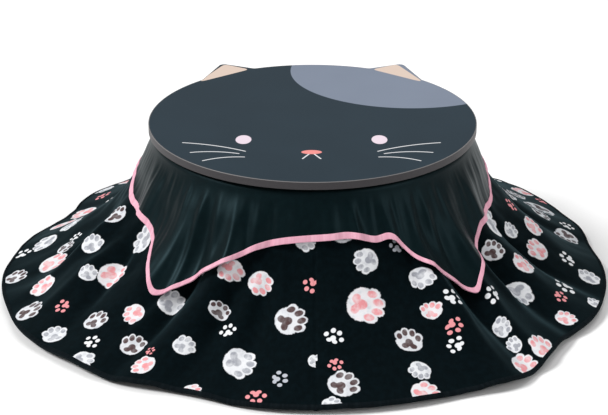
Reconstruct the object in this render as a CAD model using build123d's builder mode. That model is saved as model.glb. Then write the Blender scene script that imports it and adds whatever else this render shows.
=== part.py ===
"""Round kotatsu: a low heated table with a cat-head top, a square cover and a floor-length quilt."""

import os
from math import atan2, cos, degrees, hypot, pi, radians, sin, sqrt, tan

from build123d import *

# ---------------------------------------------------------------- driving dimensions, mm

# Fits
CLEARANCE = 0.3  # between a cloth or a loose piece and what it lies on
RUNNING_FIT = 0.05  # radial, motor shaft in its bearing

# Tabletop: a disc with two pointed ears, angles measured from straight back (+Y)
TOP_RADIUS = 385.0
TOP_THICKNESS = 18.0
BAND_THICKNESS = 2.0
BAND_CHAMFER = 0.6
EAR_REACH = 72.0
EAR_TIP_ANGLE = 30.5
EAR_INNER_ANGLE = 22.0
EAR_OUTER_ANGLE = 46.0
EAR_TIP_ROUNDING = 14.0
EAR_ROOT_ROUNDING = 16.0
PAD_RADIUS = 17.0
PAD_HEIGHT = 3.0
PAD_CIRCLE = 290.0

# Table frame
FRAME_HEIGHT = 345.0
FRAME_RADIUS = 360.0
RAIL_THICKNESS = 22.0
RAIL_HEIGHT = 45.0
BLOCK_DEPTH = 68.0
BLOCK_HALF_ANGLE = 8.0
BLOCK_ROUNDING = 6.0
DOWEL_RADIUS = 4.0
DOWEL_LENGTH = 40.0
DOWEL_SPACING = 22.0
LEG_INSET = 34.0
LEG_TOP_RADIUS = 23.0
LEG_FOOT_RADIUS = 17.0
LEG_CHAMFER = 2.5
FOOT_PAD_RADIUS = 14.0
FOOT_PAD_HEIGHT = 3.0
BOLT_RADIUS = 4.0
BOLT_DEPTH_IN_LEG = 38.0
BOLT_HOLE_PLAY = 0.5
BOLT_STAND = 2.0  # what shows above the nut
NUT_FLATS = 13.0
NUT_HEIGHT = 6.5
WASHER_RADIUS = 9.0
WASHER_THICKNESS = 1.6
NUT_POCKET_RADIUS = 11.0
NUT_POCKET_DEPTH = 13.0

# Cross rails that carry the heater, housed in the side rails
WINDOW = 280.0
CROSS_THICKNESS = 22.0
CROSS_HEIGHT = 40.0
CROSS_HOUSING = 10.0
SCREW_RADIUS = 2.0
SCREW_HEAD_RADIUS = 4.2
SCREW_LENGTH = 48.0
SCREW_SINK = 4.0
SCREW_ANGLE = 82

# Heater
HEATER_PLAY = 5.0  # between the heater's box and the cross rails
HEATER_GAP_ABOVE = 3.0  # from the heater's lid up to the frame's top
SHEET = 1.2
FLANGE_OVERLAP = 20.0
PAN_CORNER = 14.0
PAN_EDGE_ROUNDING = 2.5
VENT_COUNT = 12
VENT_LENGTH = 30.0
VENT_WIDTH = 7.0
VENT_CIRCLE = 38.0
FILTER_RADIUS = 62.0
FILTER_THICKNESS = 2.0
FIXING_SCREW_RADIUS = 2.2
FIXING_SCREW_DEPTH = 20.0
FIXING_HEAD_RADIUS = 4.6
FIXING_HEAD_HEIGHT = 2.6
FIXING_SPACING = 220.0
REFLECTOR_SHEET = 1.0
REFLECTOR_RISE = 6.0
REFLECTOR_SLOPE_WIDTH = 12.0
FAN_RADIUS = 42.0
FAN_APERTURE_GAP = 6.0
TUBE_SPACING = 150.0
TUBE_LENGTH = 200.0
TUBE_RADIUS = 6.0
TUBE_WALL = 1.2
TUBE_DROP = 18.0
COIL_RADIUS = 3.4
HOLDER_LENGTH = 22.0
HOLDER_WIDTH = 24.0
HOLDER_GRIP = 12.0
HOLDER_FLOOR = 3.0
HOLDER_ROUNDING = 2.0

# Fan and its motor
BRIDGE_LENGTH = 150.0
BRIDGE_WIDTH = 26.0
BRIDGE_THICKNESS = 1.5
MOTOR_RADIUS = 20.0
MOTOR_HEIGHT = 14.0
SHAFT_RADIUS = 2.0
SHAFT_GRIP = 10.0
FAN_GAP = 1.2
HUB_RADIUS = 10.0
HUB_HEIGHT = 10.5
BLADE_COUNT = 5
BLADE_CHORD = 21.0
BLADE_SHEET = 1.2
BLADE_PITCH = 25.0

# Thermostat, on the pan's lid
THERMOSTAT_X = 98.0
THERMOSTAT_RADIUS = 8.0
THERMOSTAT_HEIGHT = 7.0
TAB_LENGTH = 9.0
TAB_WIDTH = 5.0
TAB_SHEET = 0.8

# Wire guard under the heater
GUARD_GAP = 16.0  # from the tube holders out to the rim
GUARD_DEPTH = 38.0
GUARD_SLOPE = 20.0
GUARD_CORNER = 14.0
RIM_WIRE_RADIUS = 2.2
WIRE_RADIUS = 1.3
WIRE_GAP = 0.05  # between crossing wires, where they are welded
LONG_WIRE_COUNT = 11
SHORT_WIRE_COUNT = 5
CLIP_WIDTH = 14.0
CLIP_SHEET = 1.0
CLIP_FOOT = 10.0
CLIP_GAP = 2  # which space between wires the clips sit in, counted from the middle

# Socket for the lead, under the flange at the back
INLET_WIDTH = 48.0
INLET_HEIGHT = 24.0
INLET_LENGTH = 34.0
INLET_WALL = 3.0
INLET_BACK_WALL = 12.0
INLET_ROUNDING = 2.0
PIN_RADIUS = 2.0
PIN_SPACING = 19.0
PIN_LENGTH = 17.0
PIN_ROOT = 6.0

# Quilt and cover
QUILT_THICKNESS = 16.0
QUILT_HEM_RADIUS = 706.0
HEM_WIDTH = 12.0
FLARE_SHARE = 0.3  # share of the skirt's spread that is even, the rest comes near the floor
FLARE_POWER = 4
COVER_THICKNESS = 2.0
COVER_SIDE = 964.0
COVER_CORNER = 18.0
PIPING_WIDTH = 16.0
PIPING_THICKNESS = 4.0

# Fineness of the cloth curves
SKIRT_POINTS = 9
SIDE_POINTS = 9
LENGTH_STEPS = 240

# ---------------------------------------------------------------- levels and places

RAIL_BOTTOM = FRAME_HEIGHT - RAIL_HEIGHT
CROSS_BOTTOM = FRAME_HEIGHT - CROSS_HEIGHT
CROSS_MIDDLE = FRAME_HEIGHT - CROSS_HEIGHT / 2
CROSS_OFFSET = (WINDOW + CROSS_THICKNESS) / 2
LEG_CIRCLE = FRAME_RADIUS - LEG_INSET
HOUSING_RADIUS = FRAME_RADIUS - RAIL_THICKNESS + CROSS_HOUSING
RING_MIDDLE = FRAME_RADIUS - RAIL_THICKNESS / 2
POCKET_FLOOR = FRAME_HEIGHT - NUT_POCKET_DEPTH
NUT_BASE = POCKET_FLOOR + WASHER_THICKNESS
BOLT_TOP = NUT_BASE + NUT_HEIGHT + BOLT_STAND
BOLT_BOTTOM = RAIL_BOTTOM - BOLT_DEPTH_IN_LEG

FLANGE_TOP = CROSS_BOTTOM
FLANGE_BOTTOM = FLANGE_TOP - SHEET
FLANGE_SIDE = WINDOW + 2 * FLANGE_OVERLAP
PAN_SIDE = WINDOW - 2 * HEATER_PLAY
PAN_TOP = FRAME_HEIGHT - HEATER_GAP_ABOVE
LID_UNDERSIDE = PAN_TOP - SHEET
BRIDGE_BOTTOM = LID_UNDERSIDE - BRIDGE_THICKNESS
MOTOR_BOTTOM = BRIDGE_BOTTOM - MOTOR_HEIGHT
HUB_TOP = MOTOR_BOTTOM - FAN_GAP
HUB_BOTTOM = HUB_TOP - HUB_HEIGHT
REFLECTOR_EDGE = FLANGE_BOTTOM
REFLECTOR_FACE = REFLECTOR_EDGE + REFLECTOR_RISE - REFLECTOR_SHEET
TUBE_CENTRE = REFLECTOR_FACE - TUBE_DROP
HOLDER_HEIGHT = TUBE_DROP + TUBE_RADIUS + HOLDER_FLOOR
RIM_LEVEL = FLANGE_BOTTOM - RIM_WIRE_RADIUS
GUARD_LEVEL = FLANGE_BOTTOM - GUARD_DEPTH

SEAT_LEVEL = FRAME_HEIGHT + CLEARANCE
SEAT_RADIUS = FRAME_RADIUS + CLEARANCE
COVER_LIFT = QUILT_THICKNESS + CLEARANCE
COVER_TOP = SEAT_LEVEL + COVER_LIFT + COVER_THICKNESS
PAD_BOTTOM = COVER_TOP + CLEARANCE
BOARD_BOTTOM = PAD_BOTTOM + PAD_HEIGHT

SKIRT_SPREAD = QUILT_HEM_RADIUS - SEAT_RADIUS
HEM_RUN = SKIRT_SPREAD * (FLARE_SHARE + (1 - FLARE_SHARE) * FLARE_POWER)
HEM_LEVEL = CLEARANCE + HEM_WIDTH * SEAT_LEVEL / hypot(SEAT_LEVEL, HEM_RUN)

LEG_ANGLES = {"front_left": 225, "front_right": 315, "back_left": 135, "back_right": 45}
RAIL_ANGLES = {"front": 270, "right": 0, "back": 90, "left": 180}


# Which way a cylinder or cone stands from its place
STANDING = (Align.CENTER, Align.CENTER, Align.MIN)
HANGING = (Align.CENTER, Align.CENTER, Align.MAX)


def polar(radius, angle):
    """Plan position at a radius and an angle in degrees."""
    return radius * cos(radians(angle)), radius * sin(radians(angle))


def finish(name, part):
    """Labels a finished piece and writes it."""
    part.label = name
    export_step(part, f"parts/{name}.step")


os.makedirs("parts", exist_ok=True)


# ---------------------------------------------------------------- tabletop


def ear_points(side):
    """The ear's outer root, tip and inner root; side is -1 for left and +1 for right."""
    root = TOP_RADIUS - EAR_ROOT_ROUNDING / 8
    outer = polar(root, 90 - side * EAR_OUTER_ANGLE)
    tip = polar(TOP_RADIUS + EAR_REACH, 90 - side * EAR_TIP_ANGLE)
    inner = polar(root, 90 - side * EAR_INNER_ANGLE)
    return outer, tip, inner


def cat_head(inset):
    """Outline of the tabletop, drawn in by inset."""
    with BuildSketch(Plane.XY.offset(BOARD_BOTTOM)) as outline:
        Circle(TOP_RADIUS)
        for side in (-1, 1):
            outer, tip, inner = ear_points(side)
            with BuildLine():
                Polyline((0, 0), outer, tip, inner, (0, 0))
            make_face()
        ear_corners = outline.vertices().filter_by_position(Axis.Y, TOP_RADIUS / 2, 2 * TOP_RADIUS)
        tips = ear_corners.sort_by(Axis.Y)[-2:]
        fillet(tips, EAR_TIP_ROUNDING)
        roots = outline.vertices().filter_by_position(Axis.Y, TOP_RADIUS / 2, 2 * TOP_RADIUS)
        inner_roots = roots.sort_by(lambda v: abs(v.X))[:2]
        fillet(inner_roots, EAR_ROOT_ROUNDING)
        if inset:
            offset(amount=-inset, kind=Kind.INTERSECTION, mode=Mode.REPLACE)
    return outline.sketch


with BuildPart() as tabletop_board:
    extrude(cat_head(BAND_THICKNESS), amount=TOP_THICKNESS)
finish("tabletop_board", tabletop_board.part)

with BuildPart() as tabletop_edge_band:
    extrude(cat_head(0), amount=TOP_THICKNESS)
    rims = tabletop_edge_band.faces().filter_by(Axis.Z).edges()
    chamfer(rims, BAND_CHAMFER)
    extrude(cat_head(BAND_THICKNESS), amount=TOP_THICKNESS, mode=Mode.SUBTRACT)
finish("tabletop_edge_band", tabletop_edge_band.part)

with BuildPart() as tabletop_pads:
    with BuildSketch(Plane.XY.offset(PAD_BOTTOM)):
        with PolarLocations(PAD_CIRCLE, 4, start_angle=45):
            Circle(PAD_RADIUS)
    extrude(amount=PAD_HEIGHT)
    chamfer(tabletop_pads.edges().group_by(Axis.Z)[0], PAD_HEIGHT / 4)
finish("tabletop_pads", tabletop_pads.part)


# ---------------------------------------------------------------- quilt and cover


def skirt_point(fall, lift):
    """Radius and height on the skirt: fall runs 0 to 1 down it, lift is the height off its inside."""
    drop = SEAT_LEVEL - HEM_LEVEL
    late_share = 1 - FLARE_SHARE
    radius = SEAT_RADIUS + SKIRT_SPREAD * (FLARE_SHARE * fall + late_share * fall**FLARE_POWER)
    slope = SKIRT_SPREAD * (FLARE_SHARE + late_share * FLARE_POWER * fall ** (FLARE_POWER - 1))
    length = hypot(slope, drop)
    return radius + lift * drop / length, SEAT_LEVEL - drop * fall + lift * slope / length


def skirt_angle(fall):
    """Angle of the skirt's outward normal above level, in degrees."""
    base = skirt_point(fall, 0)
    tip = skirt_point(fall, 1)
    return degrees(atan2(tip[1] - base[1], tip[0] - base[0]))


def drape_section(low, high):
    """Section between two lifts over the frame: flat on top, round over its edge, then the skirt."""
    steps = [i / (SKIRT_POINTS - 1) for i in range(SKIRT_POINTS)]
    with BuildSketch(Plane.XZ) as section:
        with BuildLine():
            for lift in (low, high):
                Line((0, SEAT_LEVEL + lift), (SEAT_RADIUS, SEAT_LEVEL + lift))
                if lift:
                    start = skirt_angle(0)
                    CenterArc((SEAT_RADIUS, SEAT_LEVEL), lift, start, 90 - start)
                Spline([skirt_point(fall, lift) for fall in steps])
            Line(skirt_point(1, low), skirt_point(1, high))
            Line((0, SEAT_LEVEL + low), (0, SEAT_LEVEL + high))
        make_face()
    return section.sketch


with BuildPart() as futon_quilt:
    revolve(drape_section(0, QUILT_THICKNESS), axis=Axis.Z)
finish("futon_quilt", futon_quilt.part)

with BuildPart() as futon_hem_binding:
    inner_end = skirt_point(1, 0)
    outer_end = skirt_point(1, QUILT_THICKNESS)
    along = Vector(cos(radians(skirt_angle(1) - 90)), sin(radians(skirt_angle(1) - 90)))
    with BuildSketch(Plane.XZ):
        with BuildLine():
            fold = [Vector(*end) + along * HEM_WIDTH for end in (inner_end, outer_end)]
            Polyline(inner_end, fold[0], fold[1], outer_end, inner_end)
        make_face()
        fillet(vertices().sort_by(lambda v: -hypot(v.X, v.Y))[:1], QUILT_THICKNESS / 3)
    revolve(axis=Axis.Z)
finish("futon_hem_binding", futon_hem_binding.part)


def cloth_end(reach, lift):
    """Plan radius where a cloth that reaches this far from the centre ends on the drape."""
    walked = SEAT_RADIUS + lift * radians(90 - skirt_angle(0))
    last = skirt_point(0, lift)
    for step in range(1, LENGTH_STEPS + 1):
        here = skirt_point(step / LENGTH_STEPS, lift)
        piece = hypot(here[0] - last[0], here[1] - last[1])
        if walked + piece >= reach:
            share = (reach - walked) / piece
            return last[0] + share * (here[0] - last[0])
        walked += piece
        last = here
    return last[0]


def cover_outline(half_side):
    """Plan outline of a square cloth once its sides have fallen over the drape."""
    shares = [2 * i / (SIDE_POINTS - 1) - 1 for i in range(SIDE_POINTS)]
    with BuildSketch(Plane.XY) as outline:
        with BuildLine():
            for turn in range(4):
                side = []
                for share in shares:
                    reach = half_side * hypot(1, share)
                    angle = 90 * turn - 90 + degrees(atan2(share, 1))
                    side.append(polar(cloth_end(reach, COVER_LIFT), angle))
                Spline(side)
        make_face()
        fillet(outline.vertices(), COVER_CORNER)
    return outline.sketch


PIPING_SEAM = COVER_SIDE / 2 - PIPING_WIDTH

with BuildPart() as cover_cloth:
    revolve(drape_section(COVER_LIFT, COVER_LIFT + COVER_THICKNESS), axis=Axis.Z)
    extrude(cover_outline(PIPING_SEAM), amount=COVER_TOP, mode=Mode.INTERSECT)
finish("cover_cloth", cover_cloth.part)

with BuildPart() as cover_piping:
    revolve(drape_section(COVER_LIFT, COVER_LIFT + PIPING_THICKNESS), axis=Axis.Z)
    extrude(cover_outline(COVER_SIDE / 2), amount=COVER_TOP, mode=Mode.INTERSECT)
    extrude(cover_outline(PIPING_SEAM), amount=2 * COVER_TOP, mode=Mode.SUBTRACT)
finish("cover_piping", cover_piping.part)


# ---------------------------------------------------------------- table frame


def ring_sector(inner, outer, angle, half_angle):
    """A flat ring sector centred on an angle."""
    with BuildSketch(Plane.XY.offset(RAIL_BOTTOM)) as sector:
        with BuildLine():
            start = angle - half_angle
            CenterArc((0, 0), outer, start, 2 * half_angle)
            CenterArc((0, 0), inner, start, 2 * half_angle)
            for end in (start, start + 2 * half_angle):
                Line(polar(inner, end), polar(outer, end))
        make_face()
    return sector.sketch


def dowel_planes(angle):
    """The two dowels across the joint face at an angle, each plane looking along its dowel."""
    planes = []
    middle = FRAME_HEIGHT - RAIL_HEIGHT / 2
    for level in (middle - DOWEL_SPACING / 2, middle + DOWEL_SPACING / 2):
        x, y = polar(RING_MIDDLE, angle)
        along = (-sin(radians(angle)), cos(radians(angle)), 0)
        planes.append(Plane(origin=(x, y, level), z_dir=along))
    return planes


def add_dowels(angle, mode):
    """Adds or cuts the dowels of one joint."""
    with Locations(*dowel_planes(angle)):
        Cylinder(DOWEL_RADIUS, DOWEL_LENGTH, mode=mode)


def cross_rail_plan():
    """Plan of the front and back cross rails, rounded at their ends to fit the side rails."""
    with BuildSketch(Plane.XY.offset(CROSS_BOTTOM)) as plan:
        with GridLocations(0, 2 * CROSS_OFFSET, 1, 2):
            Rectangle(2 * FRAME_RADIUS, CROSS_THICKNESS)
        Circle(HOUSING_RADIUS, mode=Mode.INTERSECT)
    return plan.sketch


def rail_screw_planes():
    """Screw places through the side rails into the cross rails, and through those into the short ones."""
    face = sqrt(FRAME_RADIUS**2 - (CROSS_OFFSET + SCREW_HEAD_RADIUS) ** 2) - SCREW_SINK
    outer_face = CROSS_OFFSET + CROSS_THICKNESS / 2
    planes = []
    for x_side in (-1, 1):
        for y_side in (-1, 1):
            origin = (x_side * face, y_side * CROSS_OFFSET, CROSS_MIDDLE)
            planes.append(Plane(origin=origin, z_dir=(x_side, 0, 0)))
            origin = (x_side * CROSS_OFFSET, y_side * outer_face, CROSS_MIDDLE)
            planes.append(Plane(origin=origin, z_dir=(0, y_side, 0)))
    return planes


def cut_rail_screws():
    """Cuts the countersunk screw holes, with a pocket out to the surface."""
    with Locations(*rail_screw_planes()):
        CounterSinkHole(SCREW_RADIUS, SCREW_HEAD_RADIUS, SCREW_LENGTH, SCREW_ANGLE)
        Cylinder(SCREW_HEAD_RADIUS, 4 * SCREW_SINK, align=STANDING, mode=Mode.SUBTRACT)


RAIL_HALF_ANGLE = 45 - BLOCK_HALF_ANGLE
for place, rail_angle in RAIL_ANGLES.items():
    with BuildPart() as ring_rail:
        inner_radius = FRAME_RADIUS - RAIL_THICKNESS
        extrude(ring_sector(inner_radius, FRAME_RADIUS, rail_angle, RAIL_HALF_ANGLE), amount=RAIL_HEIGHT)
        for joint in (rail_angle - RAIL_HALF_ANGLE, rail_angle + RAIL_HALF_ANGLE):
            add_dowels(joint, Mode.SUBTRACT)
        if place in ("left", "right"):
            extrude(cross_rail_plan(), amount=CROSS_HEIGHT, mode=Mode.SUBTRACT)
            cut_rail_screws()
    finish(f"ring_rail_{place}", ring_rail.part)

for place, leg_angle in LEG_ANGLES.items():
    leg_place = polar(LEG_CIRCLE, leg_angle)
    with BuildPart() as leg_block:
        inner_radius = FRAME_RADIUS - BLOCK_DEPTH
        extrude(ring_sector(inner_radius, FRAME_RADIUS, leg_angle, BLOCK_HALF_ANGLE), amount=RAIL_HEIGHT)
        upright = leg_block.edges().filter_by(Axis.Z)
        fillet(upright.sort_by(lambda e: hypot(e.center().X, e.center().Y))[:2], BLOCK_ROUNDING)
        for joint in (leg_angle - BLOCK_HALF_ANGLE, leg_angle + BLOCK_HALF_ANGLE):
            add_dowels(joint, Mode.SUBTRACT)
        with Locations((*leg_place, FRAME_HEIGHT)):
            bolt_hole = BOLT_RADIUS + BOLT_HOLE_PLAY
            CounterBoreHole(bolt_hole, NUT_POCKET_RADIUS, NUT_POCKET_DEPTH, RAIL_HEIGHT)
    finish(f"leg_block_{place}", leg_block.part)

    with BuildPart() as leg:
        with BuildSketch(Plane.XY.offset(FOOT_PAD_HEIGHT)):
            with Locations(leg_place):
                Circle(LEG_FOOT_RADIUS)
        with BuildSketch(Plane.XY.offset(RAIL_BOTTOM)):
            with Locations(leg_place):
                Circle(LEG_TOP_RADIUS)
        loft()
        chamfer(leg.edges().group_by(Axis.Z)[0], LEG_CHAMFER)
        with Locations((*leg_place, RAIL_BOTTOM)):
            Hole(BOLT_RADIUS, BOLT_DEPTH_IN_LEG)
    finish(f"leg_{place}", leg.part)

LEG_PLACES = [polar(LEG_CIRCLE, leg_angle) for leg_angle in LEG_ANGLES.values()]

with BuildPart() as rail_dowels:
    for leg_angle in LEG_ANGLES.values():
        for joint in (leg_angle - BLOCK_HALF_ANGLE, leg_angle + BLOCK_HALF_ANGLE):
            add_dowels(joint, Mode.ADD)
finish("rail_dowels", rail_dowels.part)

with BuildPart() as leg_bolts:
    with BuildSketch(Plane.XY.offset(BOLT_BOTTOM)):
        with Locations(*LEG_PLACES):
            Circle(BOLT_RADIUS)
    extrude(amount=BOLT_TOP - BOLT_BOTTOM)
    chamfer(leg_bolts.edges().group_by(Axis.Z)[-1], BOLT_RADIUS / 5)
finish("leg_bolts", leg_bolts.part)

with BuildPart() as leg_washers:
    with BuildSketch(Plane.XY.offset(POCKET_FLOOR)):
        with Locations(*LEG_PLACES):
            Circle(WASHER_RADIUS)
            Circle(BOLT_RADIUS + BOLT_HOLE_PLAY, mode=Mode.SUBTRACT)
    extrude(amount=WASHER_THICKNESS)
finish("leg_washers", leg_washers.part)

with BuildPart() as leg_nuts:
    with BuildSketch(Plane.XY.offset(NUT_BASE)):
        with Locations(*LEG_PLACES):
            RegularPolygon(NUT_FLATS / 2, 6, major_radius=False)
            Circle(BOLT_RADIUS, mode=Mode.SUBTRACT)
    extrude(amount=NUT_HEIGHT)
finish("leg_nuts", leg_nuts.part)

with BuildPart() as foot_pads:
    with BuildSketch(Plane.XY):
        with Locations(*LEG_PLACES):
            Circle(FOOT_PAD_RADIUS)
    extrude(amount=FOOT_PAD_HEIGHT)
    chamfer(foot_pads.edges().group_by(Axis.Z)[0], FOOT_PAD_HEIGHT / 3)
finish("foot_pads", foot_pads.part)


# ---------------------------------------------------------------- cross rails


def fixing_places():
    """Plan places of the four screws that hold the heater up to the cross rails."""
    return [(x * FIXING_SPACING / 2, y * CROSS_OFFSET) for x in (-1, 1) for y in (-1, 1)]


def cut_fixing_screws():
    """Cuts the blind pilot holes for the heater's screws, from the cross rails' underside."""
    with BuildSketch(Plane.XY.offset(CROSS_BOTTOM)) as pilots:
        with Locations(*fixing_places()):
            Circle(FIXING_SCREW_RADIUS)
    extrude(pilots.sketch, amount=FIXING_SCREW_DEPTH, mode=Mode.SUBTRACT)


for place, y_side in {"front": -1, "back": 1}.items():
    with BuildPart() as cross_rail:
        extrude(cross_rail_plan(), amount=CROSS_HEIGHT)
        with BuildSketch(Plane.XY):
            with Locations((0, y_side * CROSS_OFFSET)):
                Rectangle(2 * FRAME_RADIUS, 2 * CROSS_THICKNESS)
        extrude(amount=FRAME_HEIGHT, mode=Mode.INTERSECT)
        cut_rail_screws()
        cut_fixing_screws()
    finish(f"cross_rail_{place}", cross_rail.part)

for place, x_side in {"left": -1, "right": 1}.items():
    with BuildPart() as cross_rail:
        with BuildSketch(Plane.XY.offset(CROSS_BOTTOM)):
            with Locations((x_side * CROSS_OFFSET, 0)):
                Rectangle(CROSS_THICKNESS, WINDOW)
        extrude(amount=CROSS_HEIGHT)
        cut_rail_screws()
    finish(f"cross_rail_{place}", cross_rail.part)

with BuildPart() as rail_screws:
    with Locations(*rail_screw_planes()):
        head_height = SCREW_HEAD_RADIUS / tan(radians(SCREW_ANGLE / 2))
        Cylinder(SCREW_RADIUS, SCREW_LENGTH, align=HANGING)
        Cone(0, SCREW_HEAD_RADIUS, head_height, align=HANGING)
finish("rail_screws", rail_screws.part)


# ---------------------------------------------------------------- heater


def square(side, corner, level):
    """A square with rounded corners at a level, centred on the axis."""
    with BuildSketch(Plane.XY.offset(level)) as outline:
        RectangleRounded(side, side, corner)
    return outline.sketch


CAVITY_SIDE = PAN_SIDE - 2 * SHEET
CAVITY_CORNER = PAN_CORNER - SHEET

with BuildPart() as heater_pan:
    extrude(square(PAN_SIDE, PAN_CORNER, FLANGE_BOTTOM), amount=PAN_TOP - FLANGE_BOTTOM)
    fillet(heater_pan.edges().group_by(Axis.Z)[-1], PAN_EDGE_ROUNDING)
    extrude(square(FLANGE_SIDE, PAN_CORNER, FLANGE_BOTTOM), amount=SHEET)
    cavity_height = LID_UNDERSIDE - FLANGE_BOTTOM
    extrude(square(CAVITY_SIDE, CAVITY_CORNER, FLANGE_BOTTOM), amount=cavity_height, mode=Mode.SUBTRACT)
    with BuildSketch(Plane.XY.offset(LID_UNDERSIDE)):
        with PolarLocations(VENT_CIRCLE, VENT_COUNT, start_angle=180 / VENT_COUNT):
            SlotOverall(VENT_LENGTH, VENT_WIDTH)
    extrude(amount=SHEET, mode=Mode.SUBTRACT)
    with BuildSketch(Plane.XY.offset(FLANGE_BOTTOM)):
        with Locations(*fixing_places()):
            Circle(FIXING_SCREW_RADIUS)
    extrude(amount=SHEET, mode=Mode.SUBTRACT)
finish("heater_pan", heater_pan.part)

with BuildPart() as dust_filter:
    with BuildSketch(Plane.XY.offset(PAN_TOP)):
        Circle(FILTER_RADIUS)
    extrude(amount=FILTER_THICKNESS)
finish("dust_filter", dust_filter.part)

with BuildPart() as heater_screws:
    with BuildSketch(Plane.XY.offset(FLANGE_BOTTOM)):
        with Locations(*fixing_places()):
            Circle(FIXING_SCREW_RADIUS)
    extrude(amount=SHEET + FIXING_SCREW_DEPTH)
    with BuildSketch(Plane.XY.offset(FLANGE_BOTTOM)):
        with Locations(*fixing_places()):
            Circle(FIXING_HEAD_RADIUS)
    extrude(amount=-FIXING_HEAD_HEIGHT)
    chamfer(heater_screws.edges().group_by(Axis.Z)[0], FIXING_HEAD_HEIGHT / 2)
finish("heater_screws", heater_screws.part)

FACE_SIDE = CAVITY_SIDE - 2 * REFLECTOR_SLOPE_WIDTH
FACE_CORNER = CAVITY_CORNER - REFLECTOR_SHEET

with BuildPart() as reflector:
    add(square(CAVITY_SIDE, CAVITY_CORNER, REFLECTOR_EDGE))
    add(square(FACE_SIDE, FACE_CORNER, REFLECTOR_EDGE + REFLECTOR_RISE))
    loft()
    add(square(CAVITY_SIDE - 2 * REFLECTOR_SHEET, FACE_CORNER, REFLECTOR_EDGE))
    add(square(FACE_SIDE - 2 * REFLECTOR_SHEET, FACE_CORNER, REFLECTOR_FACE))
    loft(mode=Mode.SUBTRACT)
    with BuildSketch(Plane.XY.offset(REFLECTOR_EDGE)):
        Circle(FAN_RADIUS + FAN_APERTURE_GAP)
    extrude(amount=2 * REFLECTOR_RISE, mode=Mode.SUBTRACT)
finish("reflector", reflector.part)


def tube_planes():
    """Places of the tubes, each plane at the tube's middle and looking along it."""
    return [Plane(origin=(0, y * TUBE_SPACING / 2, TUBE_CENTRE), z_dir=(1, 0, 0)) for y in (-1, 1)]


with BuildPart() as quartz_tubes:
    with Locations(*tube_planes()):
        Cylinder(TUBE_RADIUS, TUBE_LENGTH)
        Cylinder(TUBE_RADIUS - TUBE_WALL, TUBE_LENGTH, mode=Mode.SUBTRACT)
finish("quartz_tubes", quartz_tubes.part)

with BuildPart() as heating_coils:
    with Locations(*tube_planes()):
        Cylinder(COIL_RADIUS, TUBE_LENGTH)
finish("heating_coils", heating_coils.part)

with BuildPart() as tube_holders:
    holder_centre = TUBE_LENGTH / 2 + HOLDER_LENGTH / 2 - HOLDER_GRIP
    with BuildSketch(Plane.XY.offset(REFLECTOR_FACE)):
        with GridLocations(2 * holder_centre, TUBE_SPACING, 2, 2):
            Rectangle(HOLDER_LENGTH, HOLDER_WIDTH)
    extrude(amount=-HOLDER_HEIGHT)
    fillet(tube_holders.edges().group_by(Axis.Z)[0], HOLDER_ROUNDING)
    with Locations(*tube_planes()):
        Cylinder(TUBE_RADIUS, TUBE_LENGTH, mode=Mode.SUBTRACT)
finish("tube_holders", tube_holders.part)


# ---------------------------------------------------------------- fan

with BuildPart() as motor_bridge:
    with BuildSketch(Plane.XY.offset(BRIDGE_BOTTOM)):
        SlotOverall(BRIDGE_LENGTH, BRIDGE_WIDTH)
    extrude(amount=BRIDGE_THICKNESS)
finish("motor_bridge", motor_bridge.part)

with BuildPart() as fan_motor:
    with BuildSketch(Plane.XY.offset(MOTOR_BOTTOM)):
        Circle(MOTOR_RADIUS)
    extrude(amount=MOTOR_HEIGHT)
    chamfer(fan_motor.edges().group_by(Axis.Z)[0], BRIDGE_THICKNESS)
    with BuildSketch(Plane.XY.offset(MOTOR_BOTTOM)):
        Circle(SHAFT_RADIUS + RUNNING_FIT)
    extrude(amount=SHAFT_GRIP + CLEARANCE, mode=Mode.SUBTRACT)
finish("fan_motor", fan_motor.part)

with BuildPart() as fan_shaft:
    with BuildSketch(Plane.XY.offset(HUB_BOTTOM)):
        Circle(SHAFT_RADIUS)
    extrude(amount=HUB_HEIGHT + FAN_GAP + SHAFT_GRIP)
finish("fan_shaft", fan_shaft.part)

with BuildPart() as fan_blade:
    blade_reach = FAN_RADIUS - HUB_RADIUS / 2
    blade_plane = Plane(
        origin=(FAN_RADIUS - blade_reach / 2, 0, (HUB_TOP + HUB_BOTTOM) / 2),
        x_dir=(1, 0, 0),
        z_dir=(0, -sin(radians(BLADE_PITCH)), cos(radians(BLADE_PITCH))),
    )
    with BuildSketch(blade_plane):
        Rectangle(blade_reach, BLADE_CHORD)
        fillet(vertices().group_by(Axis.X)[-1], BLADE_CHORD / 3)
    extrude(amount=BLADE_SHEET / 2, both=True)

with BuildPart() as fan_rotor:
    with BuildSketch(Plane.XY.offset(HUB_BOTTOM)):
        Circle(HUB_RADIUS)
    extrude(amount=HUB_HEIGHT)
    with PolarLocations(0, BLADE_COUNT):
        add(fan_blade.part)
    with BuildSketch(Plane.XY.offset(HUB_BOTTOM - HUB_HEIGHT)):
        Circle(FAN_RADIUS)
    extrude(amount=3 * HUB_HEIGHT, mode=Mode.INTERSECT)
    with Locations((0, 0, HUB_TOP)):
        Hole(SHAFT_RADIUS)
finish("fan_rotor", fan_rotor.part)

with BuildPart() as thermostat:
    with BuildSketch(Plane.XY.offset(LID_UNDERSIDE)):
        with Locations((THERMOSTAT_X, 0)):
            Circle(THERMOSTAT_RADIUS)
    extrude(amount=-THERMOSTAT_HEIGHT)
    with BuildSketch(Plane.XY.offset(LID_UNDERSIDE - THERMOSTAT_HEIGHT / 2)):
        with Locations((THERMOSTAT_X, 0)):
            Rectangle(TAB_WIDTH, 2 * (THERMOSTAT_RADIUS + TAB_LENGTH))
    extrude(amount=TAB_SHEET)
finish("thermostat", thermostat.part)


# ---------------------------------------------------------------- wire guard

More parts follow.
